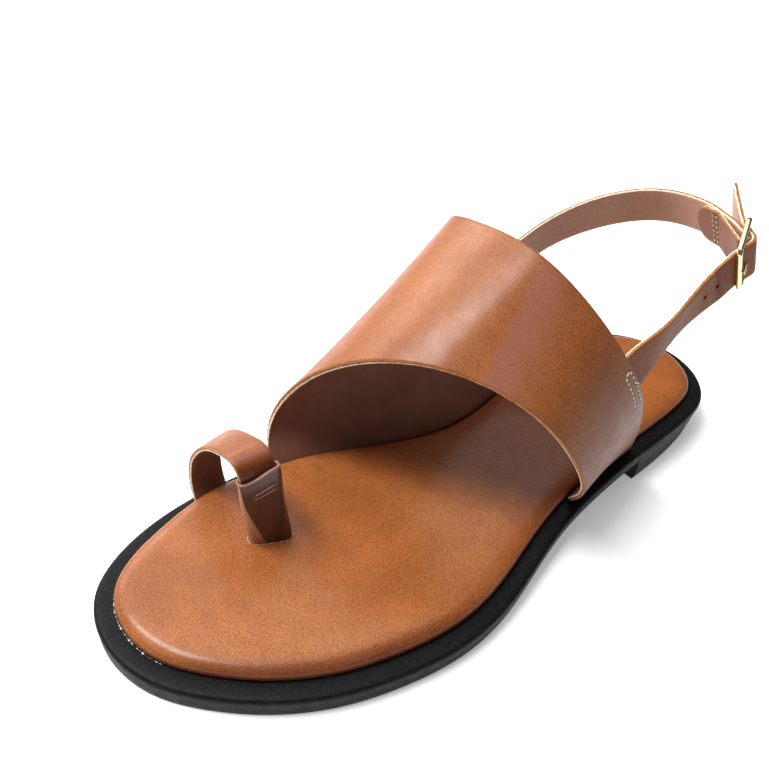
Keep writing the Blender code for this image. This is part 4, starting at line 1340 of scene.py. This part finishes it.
def add_prong():
    """Prong: a ring round the bar, a straight stem and a tapered tip on the frame."""
    ring = BAR_RADIUS + GAP + PRONG_RADIUS
    rest = FRAME_RADIUS + GAP + PRONG_RADIUS
    tip, foot = belt([(-FRAME_LENGTH / 2 - PRONG_OVERHANG, rest, 0), (0, -BAR_SINK, ring)])[:2]
    first = math.atan2(foot[1] + BAR_SINK, foot[0])
    stem = [tip + (foot - tip) * k / STEM_STEPS for k in range(STEM_STEPS + 1)]
    for k in range(1, PRONG_RING_STEPS + 1):
        angle = first - PRONG_TURN * k / PRONG_RING_STEPS
        stem.append((ring * math.cos(angle), -BAR_SINK + ring * math.sin(angle)))
    stem = np.array(stem)
    centres = at_buckle(stem[:, 0], stem[:, 1])
    up = np.cross(np.tile(WIDE, (len(centres), 1)), along_of(centres))
    size = np.full((len(centres), 1), PRONG_RADIUS)
    size[:len(PRONG_TIP), 0] *= np.sqrt(PRONG_TIP)
    points, faces = tube_mesh(centres, WIDE * size, up * size, PRONG_SIDES)
    add_mesh("prong_look", ["gold"], points, faces, "buckle_prong")


# Stitches

def stitch_line(corners, surface, stitch, closed=False):
    """Start, outward way and end of each stitch along a polyline of surface places."""
    pitch, length = stitch
    corners = np.asarray(corners, float)
    if closed:
        corners = np.vstack([corners, corners[:1]])
    found = []
    for first, last in zip(corners, corners[1:]):
        a, b = surface(*first)[0], surface(*last)[0]
        count = max(1, round(np.linalg.norm(b - a) / pitch))
        for k in range(count):
            low = first + (last - first) * (k + (1 - length / pitch) / 2) / count
            high = first + (last - first) * (k + 1 - (1 - length / pitch) / 2) / count
            found.append((*surface(*low), surface(*high)[0]))
    return found


def add_stitches(name, found, radius=THREAD_RADIUS):
    """Arched threads, each with a near black disc at both ends as painted shade in the needle hole."""
    points, faces, hole_points, hole_faces = [], [], [], []
    for start, normal, end in found:
        along = unit(end - start)
        side = np.cross(normal, along)
        centres, across, up = [], [], []
        for k in range(STITCH_STEPS + 1):
            t = k / STITCH_STEPS
            arch = math.sin(math.pi * t) ** 0.5
            size = radius * (0.55 + 0.45 * math.sin(math.pi * t) ** 0.4)
            centres.append(start + (end - start) * t + normal * (arch * THREAD_RISE - radius * 0.5))
            across.append(side * size * 1.25)
            up.append(normal * size)
        gather(points, faces, tube_mesh(centres, across, up, THREAD_SIDES))
        for centre in (start - along * radius * 0.6, end + along * radius * 0.6):
            base = len(hole_points)
            hole_points.append(centre + normal * 0.00005)
            for k in range(HOLE_SIDES):
                angle = 2 * math.pi * k / HOLE_SIDES
                spot = centre + (along * math.cos(angle) * 1.2 + side * math.sin(angle)) * radius * 1.25
                hole_points.append(spot + normal * 0.00003)
            hole_faces += [(base, base + 1 + k, base + 1 + (k + 1) % HOLE_SIDES) for k in range(HOLE_SIDES)]
    add_mesh(name, ["thread"], points, faces)
    add_mesh(name + "_holes", ["hole"], hole_points, hole_faces)


def vamp_place(across, back):
    return vamp_skin(across, back)[0], vamp_outward(across, back)[0]


def add_vamp_stitches():
    found = stitch_line(LATERAL_SEAM, vamp_place, SEAM_STITCH, closed=True)
    found += stitch_line(LATERAL_LAST, vamp_place, LAST_STITCH)
    add_stitches("stitches_lateral", found)
    add_stitches("stitches_medial", stitch_line(MEDIAL_SEAM, vamp_place, SEAM_STITCH, closed=True))


def add_fold_stitches(grids, steps):
    outer = grids[0]

    def place(row, column):
        i, j = int(np.clip(row, 0, len(outer) - 2)), int(np.clip(column, 0, STRAP_COLUMNS - 2))
        u, v = row - i, column - j
        low = outer[i, j] * (1 - v) + outer[i, j + 1] * v
        high = outer[i + 1, j] * (1 - v) + outer[i + 1, j + 1] * v
        normal = np.cross(outer[i + 1, j] - outer[i, j], outer[i, j + 1] - outer[i, j])
        return low * (1 - u) + high * u, unit(normal)

    found = []
    for back in FOLD_SEAMS:
        row = float(np.interp(-back, -steps, np.arange(len(steps))))
        found += stitch_line(((row, 0.8), (row, STRAP_COLUMNS - 1.8)), place, FOLD_STITCH)
    add_stitches("stitches_fold", found, FOLD_THREAD_RADIUS)


# Surroundings

def add_floor():
    mesh = bpy.data.meshes.new("floor")
    corners = [(x * FLOOR_REACH, y * FLOOR_REACH, 0) for x, y in ((-1, -1), (1, -1), (1, 1), (-1, 1))]
    mesh.from_pydata(corners, [], [(0, 1, 2, 3)])
    paper = Shader("paper_floor", (0.93, 0.93, 0.935), Roughness=0.9, Specular_IOR_Level=0.15)
    paper.feed(paper.main, {"Emission Color": (1, 1, 1), "Emission Strength": FLOOR_GLOW})
    mesh.materials.append(paper.made)
    floor = linked("floor", mesh)
    floor.location = (0, 0, -FLOOR_DROP)


def pose(across, upward, back, place):
    """World matrix of an object from its own three ways and its place."""
    rows = [(*row, 0) for row in np.column_stack([across, upward, back])] + [(0, 0, 0, 1)]
    return Matrix.Translation(place) @ Matrix(rows)


def add_light(name, place, aim, size, power, colour):
    data = bpy.data.lights.new(name, "AREA")
    data.shape = "RECTANGLE"
    data.size, data.size_y = size
    data.energy = power
    data.color = colour
    way = unit(np.subtract(aim, place))
    across = unit(np.cross(way, (0, 0, 1)))
    linked(name, data).matrix_world = pose(across, np.cross(across, way), -way, place)


def add_world():
    world = bpy.data.worlds.new("studio")
    world.use_nodes = True
    sky = world.node_tree.nodes["Background"]
    sky.inputs["Color"].default_value = (1, 1, 1, 1)
    sky.inputs["Strength"].default_value = WORLD_LIGHT
    bpy.context.scene.world = world


def add_camera():
    data = bpy.data.cameras.new("camera")
    data.sensor_width = 36
    data.lens = CAMERA_LENS
    data.shift_x, data.shift_y = CAMERA_SHIFT
    data.clip_start = 0.01
    flat = math.cos(CAMERA_DROP)
    turn = (-math.sin(CAMERA_AZIMUTH), math.cos(CAMERA_AZIMUTH))
    ahead = np.array((turn[0] * flat, turn[1] * flat, -math.sin(CAMERA_DROP)))
    right = unit(np.cross(ahead, (0, 0, 1)))
    up = np.cross(right, ahead)
    across = math.cos(CAMERA_ROLL) * right + math.sin(CAMERA_ROLL) * up
    upward = -math.sin(CAMERA_ROLL) * right + math.cos(CAMERA_ROLL) * up
    camera = linked("camera", data)
    camera.matrix_world = pose(across, upward, -ahead, np.array(CAMERA_AT) - (0, BALL_STATION, 0))
    bpy.context.scene.camera = camera


add_camera()
add_world()
add_floor()
for row in LIGHTS:
    add_light(*row)
bpy.context.scene.view_settings.view_transform = "Standard"

add_outsole()
add_footbed()
add_glue_flecks()
add_vamp()
add_toe_loop()
add_sleeve()
add_sleeve_ridges()
add_slot_fray()
add_lateral_strap()
fold_grids, fold_steps = add_medial_strap()
add_buckle()
add_prong()
add_vamp_stitches()
add_fold_stitches(fold_grids, fold_steps)
